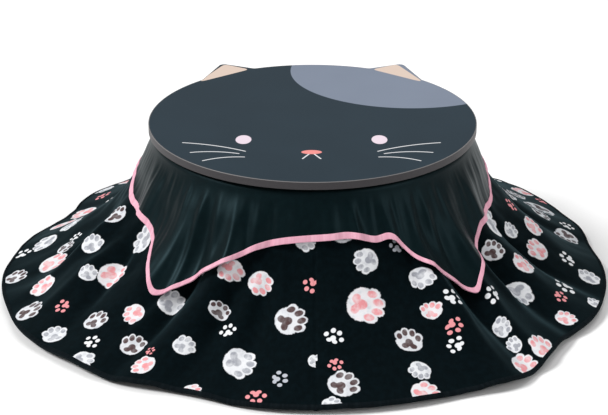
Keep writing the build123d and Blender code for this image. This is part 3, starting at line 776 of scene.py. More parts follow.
@dataclass
class Drape:
    """The surface that a cloth follows: flat on the frame, round over its edge, down to the floor.

    The fall is 0 at the crease over the frame's edge and 1 at the hem. The folds start to fade at
    a share of it, and lose a share of their height.
    """

    hem_radius: float = 692 * MM
    hem_level: float = 4 * MM
    flare_share: float = 0.3
    flare_power: int = 4
    clearance: float = 0.3 * MM
    last_fall: float = 1.05
    steps: int = 600
    fade: float = 0.75
    loss: float = 0.7
    floor: float = 1.0 * MM
    floor_ease: float = 6 * MM
    well_over: float = 30.0
    hem_lobes: Sequence[Lobe] = lobes(
        (-172, 12, 31), (-150, 15, 41), (-128, 8, 13), (-112, 9, -18), (-53, 8, 22), (-36, 7, -18),
        (3, 10, -16), (20, 9, -10), (44, 9, -7), (60, 9, -7), (118, 10, -8), (138, 8, -10), (157, 8, -30),
    )
    seat_radius: float = field(init=False)
    seat_level: float = field(init=False)

    def __post_init__(self) -> None:
        """Reads the frame's edge."""
        low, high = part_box("ring_rail_front")
        self.seat_radius = -low[1] + self.clearance
        self.seat_level = high[2] + self.clearance

    def skirt(self, fall: Array) -> tuple[Array, ...]:
        """The inside of the smooth skirt.

        Args:
            fall: 0 at the crease to 1 at the hem.

        Returns:
            Radius, height, and the radial and upward parts of the outward normal.
        """
        drop = self.seat_level - self.hem_level
        spread = self.hem_radius - self.seat_radius
        late = 1 - self.flare_share
        radius = self.seat_radius + spread * (self.flare_share * fall + late * fall**self.flare_power)
        slope = spread * (self.flare_share + late * self.flare_power * fall ** (self.flare_power - 1))
        length = np.hypot(slope, drop)
        return radius, self.seat_level - drop * fall, drop / length, slope / length

    def bend(self) -> float:
        """The angle through which the cloth turns at the crease."""
        _, _, out, up = self.skirt(np.zeros(1))
        return math.atan2(out[0], up[0])

    def falls(self, reach: Array, lift: float) -> Array:
        """How far down the fall each distance reaches.

        Args:
            reach: metres from the cloth's middle, measured along it.
            lift: metres off the frame's top and the smooth skirt's inside.

        Returns:
            Shares of the fall, 0 at the crease to 1 at the hem.
        """
        shares = np.linspace(0, self.last_fall, self.steps)
        radius, level, out, up = self.skirt(shares)
        steps = np.hypot(np.diff(radius + lift * out), np.diff(level + lift * up))
        lengths = np.concatenate([[0], np.cumsum(steps)])
        return np.interp(reach - self.seat_radius - lift * self.bend(), lengths, shares)

    def reach(self, fall: float, lift: float) -> float:
        """Distance from the cloth's middle, along it, at a share of the fall."""
        tries = np.linspace(self.seat_radius, 2 * self.hem_radius, 4 * self.steps)
        return float(np.interp(fall, self.falls(tries, lift), tries))

    def fold_rise(self, ridges: Sequence[Fold], azimuth: Array, fall: Array) -> Array:
        """How far the folds stand off the smooth drape: they flatten towards the floor."""
        total = sum(ridge.rise(azimuth, fall) for ridge in ridges)
        return total * (1 - self.loss * ease(self.fade, 1, fall))

    def points(self, azimuth: Array, reach: Array, lift: float, extra: Callable) -> Array:
        """Where points of a cloth lie.

        Args:
            azimuth: degrees round the table.
            reach: metres from the cloth's middle, measured along it.
            lift: metres off the frame's top and the smooth skirt's inside.
            extra: gives further metres off the skirt by azimuth and fall.

        Returns:
            Points, in metres.
        """
        fall = self.falls(reach, lift)
        radius, level, out, up = self.skirt(fall)
        away = lift + extra(azimuth, fall)
        radius = radius + away * out + MM * sum(lobe.at(azimuth) for lobe in self.hem_lobes) * fall**2
        level = level + away * up
        turn = np.clip((reach - self.seat_radius) / lift, 0, self.bend())
        bent = reach < self.seat_radius + lift * self.bend()
        radius = np.where(bent, self.seat_radius + lift * np.sin(turn), radius)
        level = np.where(bent, self.seat_level + lift * np.cos(turn), level)
        return polar(azimuth, np.where(reach <= self.seat_radius, reach, radius), level)

    def rest_on_floor(self, level: Array, height: Array) -> Array:
        """Eases heights so that none is below a height over the floor.

        Args:
            level: heights, in metres.
            height: the least height over the floor for each.

        Returns:
            The eased heights.
        """
        ground = self.floor + height
        over = (level - ground) / self.floor_ease
        eased = np.where(over > self.well_over, over, np.log1p(np.exp(np.minimum(over, self.well_over))))
        return ground + self.floor_ease * eased


@dataclass
class DrapedCloth:
    """A cloth that lies on the frame and falls over its edge, with folds and a bound edge."""

    name: str
    drape: Drape
    ridges: Sequence[Fold]
    lift: float = 15.5 * MM
    thickness: float = 12 * MM
    edge_thickness: float = 8 * MM
    edge_width: float = 60 * MM
    around: int = 900
    top_rings: int = 8
    skirt_rings: int = 100
    tape_sides: int = 20
    tape_power: float = 0.3
    tape_reach: float = 1 * MM

    def edge(self, azimuth: Array) -> Array:
        """Distance along the cloth from its middle to its edge, by azimuth in degrees."""
        raise NotImplementedError

    def creasing(self, azimuth: Array, fall: Array) -> Array:
        """Small unevenness of the cloth, in metres off the drape."""
        raise NotImplementedError

    def rise(self, azimuth: Array, fall: Array) -> Array:
        """Folds and small unevenness together."""
        return self.drape.fold_rise(self.ridges, azimuth, fall) + self.creasing(azimuth, fall)

    def depth(self, azimuth: Array, reach: Array) -> Array:
        """How thick the cloth is: it is pressed thinner at its edge."""
        inside = (self.edge(azimuth) - reach) / self.edge_width
        return self.edge_thickness + (self.thickness - self.edge_thickness) * ease(0, 1, inside)

    def top(self, azimuth: Array, reach: Array) -> Array:
        """Points on the cloth's outer side.

        Args:
            azimuth: degrees round the table.
            reach: metres from the cloth's middle, measured along it.

        Returns:
            The points, in metres.
        """
        points = self.drape.points(azimuth, reach, self.lift, self.rise)
        points[..., 2] = self.drape.rest_on_floor(points[..., 2], self.depth(azimuth, reach))
        return points

    def build(self) -> Object:
        """Makes the cloth, with its two sides and its edge.

        Returns:
            The cloth.
        """
        azimuth = np.linspace(0, 360, self.around, endpoint=False)[None, :]
        start = self.drape.seat_radius - 2 * self.thickness
        inner = np.linspace(0, 1, self.top_rings)[:, None] * start
        outer = start + np.linspace(0, 1, self.skirt_rings)[1:, None] * (self.edge(azimuth) - start)
        inner = np.broadcast_to(inner, (self.top_rings, self.around))
        reach = np.concatenate([inner, outer])
        azimuth = np.broadcast_to(azimuth, reach.shape)
        over = self.top(azimuth, reach)
        under = over - normals(over) * self.depth(azimuth, reach)[..., None]
        flat = polar(azimuth, reach, 0.0)
        below = flat - (0, 0, self.edge_thickness)
        rings = np.concatenate([over, under[::-1]])
        return ring_mesh(self.name, rings, np.concatenate([flat, below[::-1]]), pointed=True)

    def tape(self, name: str, width: float, height: float) -> Object:
        """Makes the tape that is folded round the cloth's edge.

        Args:
            name: the object's name.
            width: how much of the cloth the tape covers.
            height: how far it stands over the cloth on each side.

        Returns:
            The object.
        """
        azimuth = np.linspace(0, 360, 2 * self.around, endpoint=False)
        edge = self.edge(azimuth) + height + self.tape_reach
        strip = self.top(np.stack([azimuth] * 3), np.stack([edge - width, edge - width / 2, edge]))
        normal = normals(strip)
        half = self.edge_thickness / 2 + height
        centre = strip - normal * (self.edge_thickness / 2)
        rings = []
        for step in range(self.tape_sides):
            angle = math.tau * step / self.tape_sides
            round_section = (math.cos(angle), math.sin(angle))
            across, up = (math.copysign(abs(part) ** self.tape_power, part) for part in round_section)
            low = min(int(across + 1), 1)
            part = across + 1 - low
            place = centre[low] * (1 - part) + centre[low + 1] * part
            facing = normal[low] * (1 - part) + normal[low + 1] * part
            rings.append(place + facing * (half * up))
        rings.append(rings[0])
        return ring_mesh(name, np.stack(rings), np.stack([polar(azimuth, edge, 0.0)] * len(rings)))


def normals(grid: Array) -> Array:
    """Outward unit normals of a ring grid.

    Args:
        grid: points by ring and by place round it.

    Returns:
        A normal for each point. It is upright where a ring shrinks to a point.
    """
    down = np.gradient(grid, axis=0)
    down[0] = down[1]
    facing = np.cross(down, np.roll(grid, -1, axis=1) - np.roll(grid, 1, axis=1))
    length = np.linalg.norm(facing, axis=-1, keepdims=True)
    return np.where(length > TINY, facing / np.maximum(length, TINY), (0.0, 0.0, 1.0))


def ring_mesh(name: str, rings: Array, flat: Array, pointed: bool = False) -> Object:
    """Makes a mesh from rings of points.

    Args:
        name: the object's name.
        rings: points by ring, by place in the ring, and by axis.
        flat: the same points on the cloth as it was cut.
        pointed: whether the first and the last ring each shrink to one point.

    Returns:
        The object, in the scene.
    """
    index = np.arange(rings[..., 0].size).reshape(rings.shape[:2])
    beside = np.roll(index, -1, axis=1)
    quads = np.stack([index[:-1], index[1:], beside[1:], beside[:-1]], axis=-1).reshape(-1, 4)
    mesh = bpy.data.meshes.new(name)
    mesh.from_pydata(rings.reshape(-1, 3).tolist(), [], quads.tolist())
    put_vectors(mesh, FLAT, "POINT", flat)
    work = bmesh.new()
    work.from_mesh(mesh)
    work.verts.ensure_lookup_table()
    ends = [work.verts[number] for number in (*index[0], *index[-1])]
    bmesh.ops.remove_doubles(work, verts=ends, dist=MERGED)
    if not pointed:
        bmesh.ops.recalc_face_normals(work, faces=work.faces)
    work.to_mesh(mesh)
    work.free()
    mesh.shade_smooth()
    return put(name, mesh)


def put(name: str, data: bpy.types.ID) -> Object:
    """Puts a mesh, lamp or camera into the scene as an object.

    Args:
        name: the object's name.
        data: what it holds.

    Returns:
        The object.
    """
    piece = bpy.data.objects.new(name, data)
    bpy.context.scene.collection.objects.link(piece)
    return piece


def put_vectors(mesh: bpy.types.Mesh, name: str, domain: str, vectors: Array) -> None:
    """Adds an attribute with a vector for each of the mesh's points or corners."""
    layer = mesh.attributes.new(name, "FLOAT_VECTOR", domain)
    layer.data.foreach_set("vector", vectors.astype(np.float32).ravel())


def get_numbers(items: Sequence, name: str, kind: type, width: int = 1) -> Array:
    """Reads one property of all of a mesh's items.

    Args:
        items: the mesh's points, corners, faces or attribute values.
        name: the property.
        kind: the type of its numbers.
        width: how many numbers it has for each item.

    Returns:
        The numbers, by item.
    """
    values = np.empty((len(items), width), kind)
    items.foreach_get(name, values.ravel())
    return values.squeeze()


@dataclass
class PrintLayout:
    """Where the paws stand on the cut cloth, in two panels with a seam between them.

    The placed paws stand on the part that shows in front. Elsewhere paws are thrown at random
    wherever there is room. Sizes and the gap between paws are in millimetres. Far is beyond any paw.
    """

    placed: Sequence[Paw]
    radius: float
    filled: Callable[[float, float], bool]
    gap: float = 21.0
    throws: int = 3000
    seed: int = 5
    sizes: Pair = (58.0, 84.0)
    small_sizes: Pair = (44.0, 54.0)
    far: float = 9.0

    def paws(self) -> list[Paw]:
        """The placed paws and as many others as there is room for.

        Returns:
            The paws, the placed ones first.
        """
        chance = np.random.RandomState(self.seed)
        large = (Look.PINK, Look.GREY, Look.BROWN)
        looks = (*large, *large, Look.SMALL_WHITE, Look.SMALL_PINK)
        paws = list(self.placed)
        places = [(paw.x, paw.y, paw.width) for paw in paws]
        for _ in range(self.throws):
            reach = 1000 * self.radius * math.sqrt(chance.uniform())
            angle = chance.uniform(0, math.tau)
            look = looks[chance.randint(len(looks))]
            width = chance.uniform(*(self.sizes if look.value[0] else self.small_sizes))
            turn = chance.uniform(0, 360)
            x, y = reach * math.cos(angle), reach * math.sin(angle)
            if not self.filled(math.degrees(angle), reach * MM):
                continue
            away = np.hypot(*(np.asarray(places)[:, :2] - (x, y)).T) - np.asarray(places)[:, 2] / 2
            if away.min() > width / 2 + self.gap:
                paws.append(Paw(x, y, width, turn, look))
                places.append((x, y, width))
        return paws

    def stamp(self, mesh: bpy.types.Mesh) -> None:
        """Writes each face corner's point in the nearest paw's frame, and that paw's look.

        Args:
            mesh: a mesh that carries the cut cloth's points, made of the upper and lower sides.
        """
        paws = self.paws()
        LOG.info("%d paws are printed", len(paws))
        flat = get_numbers(mesh.attributes[FLAT].data, "vector", np.float32, 3)
        corner = get_numbers(mesh.loops, "vertex_index", np.int32)
        starts = get_numbers(mesh.polygons, "loop_start", np.int32)
        counts = get_numbers(mesh.polygons, "loop_total", np.int32)
        middles = np.add.reduceat(flat[corner], starts) / counts[:, None]
        table = np.array([(paw.x * MM, paw.y * MM, paw.width * MM, math.radians(paw.turn)) for paw in paws])
        face = np.repeat(np.arange(len(starts)), counts)
        nearest = self.nearest(middles, table)[face]
        centre, width, turn = table[nearest, :2], table[nearest, 2:3], table[nearest, 3]
        outwards = centre / np.hypot(*centre.T)[:, None]
        offset = (flat[corner][:, :2] - centre) / width
        out = (offset * outwards).sum(axis=1)
        sideways = offset[:, 1] * outwards[:, 0] - offset[:, 0] * outwards[:, 1]
        # The drape draws the cloth together round the table, so the print is spread by as much.
        draped = get_numbers(mesh.vertices, "co", np.float32, 3)
        reaches = [np.maximum(np.hypot(points[:, 0], points[:, 1]), MM) for points in (draped, flat)]
        sideways = sideways * (reaches[0] / reaches[1])[corner]
        turn = turn - np.arctan2(outwards[:, 1], outwards[:, 0]) - math.pi / 2
        across = out * np.cos(turn) + sideways * np.sin(turn)
        along = sideways * np.cos(turn) - out * np.sin(turn)
        under = middles[face, 2] < -MM / 2
        across = np.where(under, self.far, across)
        put_vectors(mesh, PAW_POINT, "CORNER", np.stack([across, along, np.zeros_like(along)], axis=1))
        put_vectors(mesh, PAW_LOOK, "CORNER", np.array([paw.look.value for paw in paws])[nearest])

    def nearest(self, places: Array, paws: Array) -> Array:
        """Finds the nearest paw on the same side of the seam.

        Args:
            places: points on the cut cloth.
            paws: each paw's place, width and turn.

        Returns:
            The paw's number for each place.
        """
        least = np.full(len(places), self.far)
        nearest = np.zeros(len(places), int)
        for number, (x, y, width, _) in enumerate(paws):
            away = np.hypot(places[:, 0] - x, places[:, 1] - y) - width / 2
            closer = (away < least) & ((places[:, 0] > SEAM) == (x > SEAM))
            least[closer] = away[closer]
            nearest[closer] = number
        return nearest


@dataclass
class Quilt(DrapedCloth):
    """The quilt: a round cloth in two panels, spread out on the floor all round."""

    hem_width: float = 12 * MM
    dents: float = 4.0 * MM
    wrinkles: float = 2.0 * MM
    front_creases: float = 1.3 * MM
    front_span: Pair = (-74, 20)
    side_creases: float = 3.0 * MM
    side_span: Pair = (-158, 24)
    seam_depth: float = 2.5 * MM
    seam_width: float = 6 * MM
    seam_run: float = 0.6

    def edge(self, azimuth: Array) -> Array:
        """The quilt is cut round."""
        return np.full_like(azimuth, self.cut_radius(), dtype=float)

    def cut_radius(self) -> float:
        """The radius that it is cut to."""
        return self.drape.reach(1.0, self.lift) + self.hem_width

    def creasing(self, azimuth: Array, fall: Array) -> Array:
        """Soft dents, fine wrinkles and the seam between the panels.

        Args:
            azimuth: degrees round the table.
            fall: 0 at the crease to 1 at the hem.

        Returns:
            Metres off the drape.
        """
        grown = ease(0.05, 0.4, fall)
        dents = self.dents * grown * ripple(azimuth, fall, 6.0, 3.0, 1.0)
        fine = self.wrinkles * grown * ripple(azimuth, fall, 16.0, 9.0, 5.0)
        front, side = bell(azimuth, *self.front_span), bell(azimuth, *self.side_span)
        crossing = self.front_creases * grown * front * ripple(azimuth, fall, 3.0, 24.0, 11.0)
        crumpled = self.side_creases * grown * side * ripple(azimuth, fall, 10.0, 11.0, 21.0)
        aside = np.abs(self.seam_run * np.cos(np.radians(azimuth)) * (1 + fall) - SEAM)
        seam = self.seam_depth * np.exp(-((aside / self.seam_width) ** 2)) * grown
        return dents + fine + crossing + crumpled - seam


@dataclass
class Cover(DrapedCloth):
    """The cover: a square cloth over the quilt, its corners hanging lowest."""

    half_side: float = 0.482
    squareness: float = 40.0
    pulls: Sequence[Lobe] = lobes((-135, 24, 4.5), (-45, 12, -3.0))
    sags: Sequence[Lobe] = lobes(
        (-166, 8, 26), (-145, 8, -22), (-116, 6, 15), (-76, 9, -16), (-66, 4, -32), (-31, 4, -18),
        (-12, 9, 34),
    )
    looseness: float = 6 * MM
    gathers: float = 4.0 * MM
    least_gathered: float = 0.35

    def edge(self, azimuth: Array) -> Array:
        """The cover is cut square. Its front corners are drawn round and its sides hang unevenly.

        Args:
            azimuth: degrees round the table.

        Returns:
            Metres from the cover's middle to its edge, measured along it.
        """
        angle = np.radians(azimuth - sum(pull.at(azimuth) for pull in self.pulls))
        power = self.squareness
        corner = np.abs(np.cos(angle)) ** power + np.abs(np.sin(angle)) ** power
        return self.half_side / corner ** (1 / power) + MM * sum(sag.at(azimuth) for sag in self.sags)

    def creasing(self, azimuth: Array, fall: Array) -> Array:
        """Gathers that fall from the crease, strongest towards the corners.

        Args:
            azimuth: degrees round the table.
            fall: 0 at the crease to 1 at the hem.

        Returns:
            Metres off the drape.
        """
        corners = self.least_gathered + (1 - self.least_gathered) * np.sin(2 * np.radians(azimuth)) ** 2
        waves = ripple(azimuth, fall, 15.0, 1.2, 3.0) + 0.5 * ripple(azimuth, fall, 34.0, 2.5, 8.0)
        loose = ease(0.0, 0.2, fall) * self.looseness
        return loose + ease(0.0, 0.12, fall) * self.gathers * corners * waves


# ---- sub-assemblies


# Each row gives a paw's place on the cut cloth, its width and its turn.
PLACED_PAWS: dict[Look, Sequence[Sequence[float]]] = {
    Look.PINK: (
        (-767, 315, 76, 186), (-752, -127, 74, 3), (-749, -267, 63, 130), (-565, -344, 66, 310),
        (-492, -528, 52, 191), (-452, -706, 52, 144), (-225, -517, 58, 272), (-149, -560, 57, 303),
        (-327, -820, 46, 1), (144, -617, 92, 356), (321, -591, 46, 108), (293, -822, 68, 29),
        (618, -284, 66, 83), (688, -130, 64, 169), (678, -34, 64, 67), (728, -426, 51, 64),
        (625, -589, 72, 103), (558, -658, 71, 41),
    ),
    Look.GREY: (
        (-750, 107, 66, 325), (-810, 41, 67, 178), (-615, -214, 56, 54), (-618, -322, 42, 60),
        (-684, -497, 54, 91), (-605, -633, 59, 325), (-484, -290, 69, 137), (-400, -526, 57, 31),
        (-355, -685, 48, 29), (-203, -751, 78, 334), (-18, -476, 52, 331), (5, -763, 34, 358),
        (138, -511, 60, 212), (292, -514, 55, 305), (284, -760, 51, 252), (47, -878, 46, 22),
        (519, -559, 46, 52), (544, -599, 40, 144), (610, -397, 73, 297), (531, -182, 88, 69),
        (826, -160, 60, 80), (608, -118, 46, 89), (816, -307, 46, 76),
    ),
    Look.BROWN: (
        (-731, -63, 46, 351), (-842, -134, 58, 36), (-762, -366, 69, 11), (-588, -502, 57, 41),
        (-486, -619, 56, 68), (-550, -142, 57, 85), (-265, -608, 44, 58), (-62, -657, 76, 17),
        (79, -821, 71, 38), (261, -683, 65, 95), (531, -296, 56, 85), (746, 309, 92, 247),
        (813, 113, 71, 256),
    ),
    Look.SMALL_WHITE: (
        (-713, -22, 33, 86), (-864, 16, 46, 93), (-591, -576, 39, 27), (-242, -664, 40, 90),
        (55, -705, 44, 66), (369, -549, 50, 63), (383, -666, 38, 164), (501, -483, 47, 180),
        (817, 196, 42, 83), (778, -103, 48, 200), (742, -273, 56, 231),
    ),
    Look.SMALL_PINK: (
        (-672, -405, 39, 185), (-439, -667, 24, 10), (-151, -846, 45, 272), (-3, -576, 41, 243),
        (58, -770, 34, 290), (375, -622, 39, 341), (602, -7, 43, 84), (717, -343, 39, 346),
    ),
    Look.SMALL_GREY: (
        (-92, -804, 41, 3), (219, -458, 38, 100),
    ),
}


def dress(piece: Object, material: Material) -> None:
    """Gives a piece one finish all over.

    Args:
        piece: the piece.
        material: its material.
    """
    if not piece.material_slots:
        piece.data.materials.append(material)
    for place in piece.material_slots:
        place.material = material
    LOG.info("%s is finished in %s", piece.name, material.name)


def dress_nodes(finish: object, *nodes: str) -> None:
    """Gives carried-over nodes one finish.

    Args:
        finish: what they are dressed in.
        nodes: the nodes' names.
    """
    material = finish.build()
    for node in nodes:
        dress(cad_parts[node], material)


def declare(piece: Object, body: str, node: str, finish: object) -> None:
    """Dresses a new piece, makes it ride on a body and hides the node that it replaces.

    Args:
        piece: the new piece.
        body: the body that it rides on.
        node: the node that it replaces.
        finish: what it is dressed in.
    """
    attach(piece, body)
    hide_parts(node)
    dress(piece, finish.build())


@dataclass
class Bedding:
    """The quilt and the cover, with their bound edges.

    Random paws stand further back than the back margin, in degrees behind the sides, and where
    the cover hides them by more than the tuck.
    """

    quilt_folds: Sequence[Fold] = folds(
        (-150, 9, 30, -38, 0.15, 0.65), (-136, 6, 22, -4, 0.25, 0.7), (-121, 5, 34, 12, 0.15, 0.65),
        (-88, 13, 8, 0, 0.25, 0.7), (-76, 15, 16, 0, 0.1, 0.45), (-58, 4, 14, 0, 0.25, 0.65),
        (-56, 6, 26, -4, 0.2, 0.7), (-42, 5, 30, 0, 0.15, 0.7), (-26, 6, 20, 0, 0.3, 0.75),
        (-3, 9, 28, 12, 0.15, 0.65), (17, 8, 22, 0, 0.15, 0.65), (40, 8, 26, -6, 0.15, 0.65),
        (64, 9, 26, 0, 0.15, 0.65), (90, 9, 22, 5, 0.15, 0.65), (114, 8, 26, 0, 0.15, 0.65),
        (144, 8, 24, 0, 0.15, 0.65), (173, 9, 22, 0, 0.15, 0.65),
    )
    quilt_valleys: Sequence[Fold] = folds(
        (-168, 2.4, -10, -8, 0.3, 0.8), (-143, 2.2, -13, -20, 0.3, 0.8), (-131, 1.6, 8, 8, 0.35, 0.7),
        (-127, 1.8, -14, 7, 0.3, 0.7), (-115, 1.8, -11, 9, 0.3, 0.7), (-104, 2.4, -8, 4, 0.35, 0.75),
        (-162, 2.8, 16, -6, 0.3, 0.75), (-152, 2.4, 12, -8, 0.35, 0.75), (-109, 2.2, 10, 6, 0.4, 0.75),
        (-45, 2.2, 14, 0, 0.3, 0.7), (-37, 2.2, 12, 0, 0.3, 0.7), (-61, 1.6, -12, 0, 0.25, 0.7),
        (-54, 1.4, 8, -4, 0.35, 0.7), (-49, 1.8, -13, -3, 0.3, 0.7), (-33, 2, -11, 0, 0.3, 0.7),
        (-17, 2.2, -13, 4, 0.25, 0.7), (8, 2.2, -10, 4, 0.2, 0.6),
    )
    cover_folds: Sequence[Fold] = folds(
        (-152, 5, 18), (-133, 5, 20, 0, 0, 0.45), (-116, 5, 12), (-62, 5, 11), (-45, 5, 20, 0, 0, 0.45),
        (-30, 5, 18), (31, 5, 14), (46, 5, 18, 0, 0, 0.45), (61, 5, 12), (119, 5, 12),
        (134, 5, 18, 0, 0, 0.45), (150, 5, 14), (-127, 2.2, 8, 0, 0, 0.25), (-120.5, 2.2, 9, 0, 0, 0.25),
        (-114, 2.2, 9, 0, 0, 0.25), (-107.5, 2, 9, 0, 0, 0.25), (-103, 1, -5, 0, 0, 0.2),
        (-96, 4, 3, 0, 0, 0.25), (-80, 3, 5, -6, 0, 0.25), (-71, 1.5, 10, -7, 0, 0.25),
        (-64, 2, 8, -3, 0, 0.25), (-58, 1.8, 8, 0, 0, 0.25), (-52, 1.8, 7, 0, 0, 0.25),
    )
    back_margin: float = 12.0
    cover_lift: float = 18.0 * MM
    cover_thickness: float = 1.0 * MM
    hem_width: float = 9 * MM
    hem_height: float = 0.8 * MM
    piping_width: float = 15 * MM
    piping_height: float = 1.4 * MM
    tuck: float = 12 * MM
    flannel: Cloth = PawPrint(
        "printed_flannel", (0.0003, 0.0010, 0.0014), (0.0012, 0.0036, 0.0050), 0.18, shine=0.08
    )
    hem_tape: Cloth = Cloth(
        "hem_tape", (0.002, 0.003, 0.004), (0.007, 0.010, 0.012), 0.03, nap=120.0, shine=0.06
    )
    polyester: Cloth = Cloth(
        "smooth_polyester", (0.0004, 0.0026, 0.0032), (0.0012, 0.0052, 0.0062), rough=0.44, shine=0.16
    )
    pink_tape: Cloth = Cloth(
        "pink_tape", (0.70, 0.33, 0.43), (0.82, 0.46, 0.56), tint=(1.0, 1.0, 1.0), nap=90.0
    )

    def build(self) -> None:
        """Makes and declares both cloths."""
        drape = Drape()
        quilt = Quilt("quilt", drape, (*self.quilt_folds, *self.quilt_valleys))
        thin = self.cover_thickness
        ridges = (*self.quilt_folds, *self.cover_folds)
        cover = Cover("cover", drape, ridges, self.cover_lift, thin, thin, around=1080)
        quilt_piece = quilt.build()
        hem = quilt.tape("quilt_hem_tape", self.hem_width, self.hem_height)
        placed = [Paw(*row, look) for look, rows in PLACED_PAWS.items() for row in rows]
        PrintLayout(placed, quilt.cut_radius(), self.hidden_by(cover)).stamp(quilt_piece.data)
        declare(quilt_piece, "futon", "futon_quilt", self.flannel)
        declare(hem, "futon", "futon_hem_binding", self.hem_tape)
        radius = quilt.cut_radius()
        flat = (2 * radius, 2 * radius)
        area = math.pi * radius**2

        cover_piece = cover.build()
        piping = cover.tape("cover_edge_tape", self.piping_width, self.piping_height)
        declare(cover_piece, "cover", "cover_cloth", self.polyester)
        declare(piping, "cover", "cover_piping", self.pink_tape)
        flat = (2 * cover.half_side, 2 * cover.half_side)

    def hidden_by(self, cover: Cover) -> Callable[[float, float], bool]:
        """Gives the test for a place on the quilt that is at the back or under the cover.

        Args:
            cover: the cover that lies on the quilt.

        Returns:
            A test on degrees round the table and metres along the quilt.
        """
        return lambda azimuth, reach: (
            abs((azimuth + 90) % 360 - 180) < 90 - self.back_margin
            or reach < float(cover.edge(np.array([azimuth]))[0]) - self.tuck
        )


@dataclass
class Tabletop:
    """The printed board, its edge tape and its pads."""

    def build(self) -> None:
        """Dresses the tabletop."""
        dress_nodes(CatFace(), "tabletop_board")
        dress_nodes(EdgeTape(), "tabletop_edge_band")
        dress_nodes(Moulding("pad_rubber", (0.03, 0.03, 0.03), 0.7), "tabletop_pads")


@dataclass
class TableFrame:
    """The wooden frame with its fasteners and feet."""

    grain_x: Triple = (0.08, 1.0, 1.0)
    grain_y: Triple = (1.0, 0.08, 1.0)
    grain_z: Triple = (1.0, 1.0, 0.08)

    def build(self) -> None:
        """Dresses the frame."""
        along_x = Wood("lacquered_wood_x", self.grain_x)
        along_y = Wood("lacquered_wood_y", self.grain_y)
        upright = Wood("lacquered_wood_z", self.grain_z, (0.56, 0.36, 0.19), (0.40, 0.23, 0.11))
        dowels = Wood("dowel_wood", self.grain_x, (0.68, 0.52, 0.34), (0.56, 0.40, 0.24), 0.6)
        corners = ("front_left", "front_right", "back_left", "back_right")
        blocks = [f"leg_block_{corner}" for corner in corners]
        fasteners = ("leg_bolts", "leg_nuts", "leg_washers", "rail_screws", "heater_screws", "guard_clips")
        dress_nodes(along_x, *self.rails("front", "back"), *blocks)
        dress_nodes(along_y, *self.rails("left", "right"))
        dress_nodes(upright, *(f"leg_{corner}" for corner in corners))
        dress_nodes(dowels, "rail_dowels")
        dress_nodes(Metal("zinc_plate", (0.66, 0.67, 0.68)), *fasteners, "fan_shaft")
        dress_nodes(Moulding("foot_rubber", (0.025, 0.025, 0.027), 0.75), "foot_pads")

    @staticmethod
    def rails(*sides: str) -> list[str]:
        """The names of the rails on some sides."""
        return [f"{kind}_rail_{side}" for kind in ("ring", "cross") for side in sides]


@dataclass
class Heater:
    """The heater under the frame."""

    coil_turns_per_metre: float = 260.0
    coil_wire: float = 0.45 * MM
    steps_per_turn: int = 10

    def build(self) -> None:
        """Dresses the heater and winds its coils."""
        finishes = {
            "heater_pan": Metal("galvanised_sheet", (0.62, 0.64, 0.66), 0.42),
            "motor_bridge": Metal("bridge_steel", (0.60, 0.61, 0.63), 0.38),
            "reflector": Metal("bright_aluminium", (0.88, 0.89, 0.90), 0.22, (0.1, 1.0, 1.0)),
            "quartz_tubes": Quartz(),
            "tube_holders": Moulding("ceramic_holder", (0.80, 0.77, 0.70), 0.55, 300.0),
            "heater_guard": Moulding("guard_paint", (0.020, 0.020, 0.022), 0.42, coat=0.2),
            "fan_motor": Moulding("motor_paint", (0.05, 0.055, 0.06), 0.4),
            "fan_rotor": Moulding("fan_plastic", (0.74, 0.73, 0.70), 0.45),
            "thermostat": Moulding("thermostat_case", (0.035, 0.028, 0.025), 0.5),
            "cord_inlet": Moulding("inlet_case", (0.03, 0.03, 0.032), 0.5),
            "inlet_pins": Metal("brass_pins", (0.80, 0.60, 0.30), 0.25),
            "dust_filter": Moulding("filter_felt", (0.42, 0.43, 0.42), 0.95, 180.0, 0.8 * MM),
        }
        for node, finish in finishes.items():
            dress_nodes(finish, node)
        wire = Metal("heating_wire", (0.30, 0.27, 0.24), 0.45)
        declare(self.wind(), "kotatsu_frame", "heating_coils", wire)

    def wind(self) -> Object:
        """Winds a wire along each tube, inside the space of the plain coils.

        Returns:
            Both coils, as one piece.
        """
        low, high = (Vector(corner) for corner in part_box("heating_coils"))
        radius = (high.z - low.z) / 2 - self.coil_wire
        centre = (low.z + high.z) / 2
        curve = bpy.data.curves.new("heating_wire", "CURVE")
        curve.dimensions = "3D"
        curve.bevel_depth = self.coil_wire
        curve.bevel_resolution = 1
        length = high.x - low.x
        count = round(length * self.coil_turns_per_metre) * self.steps_per_turn
        for y in (low.y + radius + self.coil_wire, high.y - radius - self.coil_wire):
            spline = curve.splines.new("POLY")
            spline.points.add(count)
            for step, point in enumerate(spline.points):
                angle = math.tau * step / self.steps_per_turn
                x = low.x + length * step / count
                point.co = (x, y + radius * math.cos(angle), centre + radius * math.sin(angle), 1.0)
        path = bpy.data.objects.new("heating_wire_path", curve)
        mesh = bpy.data.meshes.new_from_object(path)
        bpy.data.objects.remove(path)
        return put("heating_wire", mesh)


# ---- studio


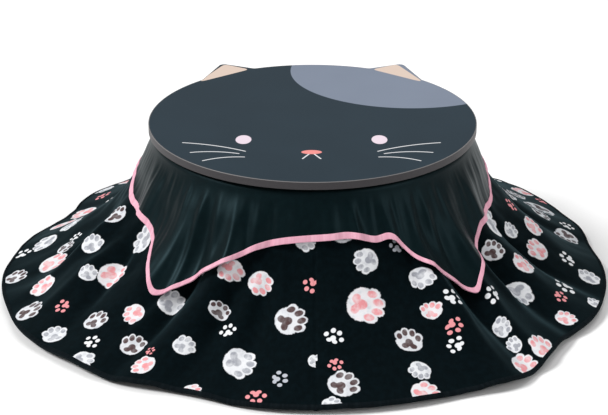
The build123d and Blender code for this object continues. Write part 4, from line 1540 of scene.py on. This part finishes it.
@dataclass
class Studio:
    """Pale floor, soft lights and the camera."""

    camera_place: Triple = (-0.020, -3.793, 1.832)
    camera_pitch: float = 23.84
    view_width: float = 20.0
    half_floor: float = 15.0
    floor_tone: Triple = (0.94, 0.94, 0.94)
    surround: float = 0.34
    lamps: Sequence[tuple[str, Triple, float, float]] = (
        ("key_light", (-2.6, -0.5, 2.6), 20.0, 2.7),
        ("fill_light", (2.8, -1.6, 1.8), 30.0, 0.7),
        ("top_light", (0.4, 0.9, 3.4), 30.0, 0.6),
    )

    def build(self) -> None:
        """Sets up the studio."""
        self.floor()
        self.world()
        for lamp in self.lamps:
            self.lamp(*lamp)
        self.camera()
        bpy.context.scene.view_settings.view_transform = "Standard"

    def floor(self) -> None:
        """A plain pale floor."""
        half = self.half_floor
        mesh = bpy.data.meshes.new("studio_floor")
        corners = [(-half, -half, 0), (half, -half, 0), (half, half, 0), (-half, half, 0)]
        mesh.from_pydata(corners, [], [(0, 1, 2, 3)])
        mesh.materials.append(Shader("pale_floor").dress(base_color=self.floor_tone, roughness=1.0))
        put("studio_floor", mesh)

    def world(self) -> None:
        """An even white surround."""
        world = bpy.data.worlds.new("studio_world")
        world.use_nodes = True
        background = world.node_tree.nodes["Background"]
        background.inputs["Color"].default_value = (1.0, 1.0, 1.0, 1.0)
        background.inputs["Strength"].default_value = self.surround
        bpy.context.scene.world = world

    def lamp(self, name: str, place: Triple, spread: float, strength: float) -> None:
        """Adds a wide, distant lamp that shines on the table evenly.

        Args:
            name: the lamp's name.
            place: where it shines from.
            spread: how wide it looks from the table, in degrees.
            strength: how bright it is.
        """
        data = bpy.data.lights.new(name, "SUN")
        data.angle = math.radians(spread)
        data.energy = strength
        lamp = put(name, data)
        lamp.location = place
        lamp.rotation_euler = (-Vector(place)).to_track_quat("-Z", "Y").to_euler()

    def camera(self) -> None:
        """The camera, at standing height in front of the table."""
        data = bpy.data.cameras.new("camera")
        data.sensor_fit = "HORIZONTAL"
        data.angle = math.radians(self.view_width)
        camera = put("camera", data)
        camera.location = self.camera_place
        camera.rotation_euler = Euler((math.radians(90 - self.camera_pitch), 0.0, 0.0))
        bpy.context.scene.camera = camera


def main() -> None:
    """Builds the sub-assemblies in order."""
    logging.basicConfig(level=logging.INFO, format="%(name)s: %(message)s")
    for assembly in (Studio(), Tabletop(), TableFrame(), Heater(), Bedding()):
        assembly.build()
        LOG.info("%s done", type(assembly).__name__)


if __name__ == "__main__":
    main()
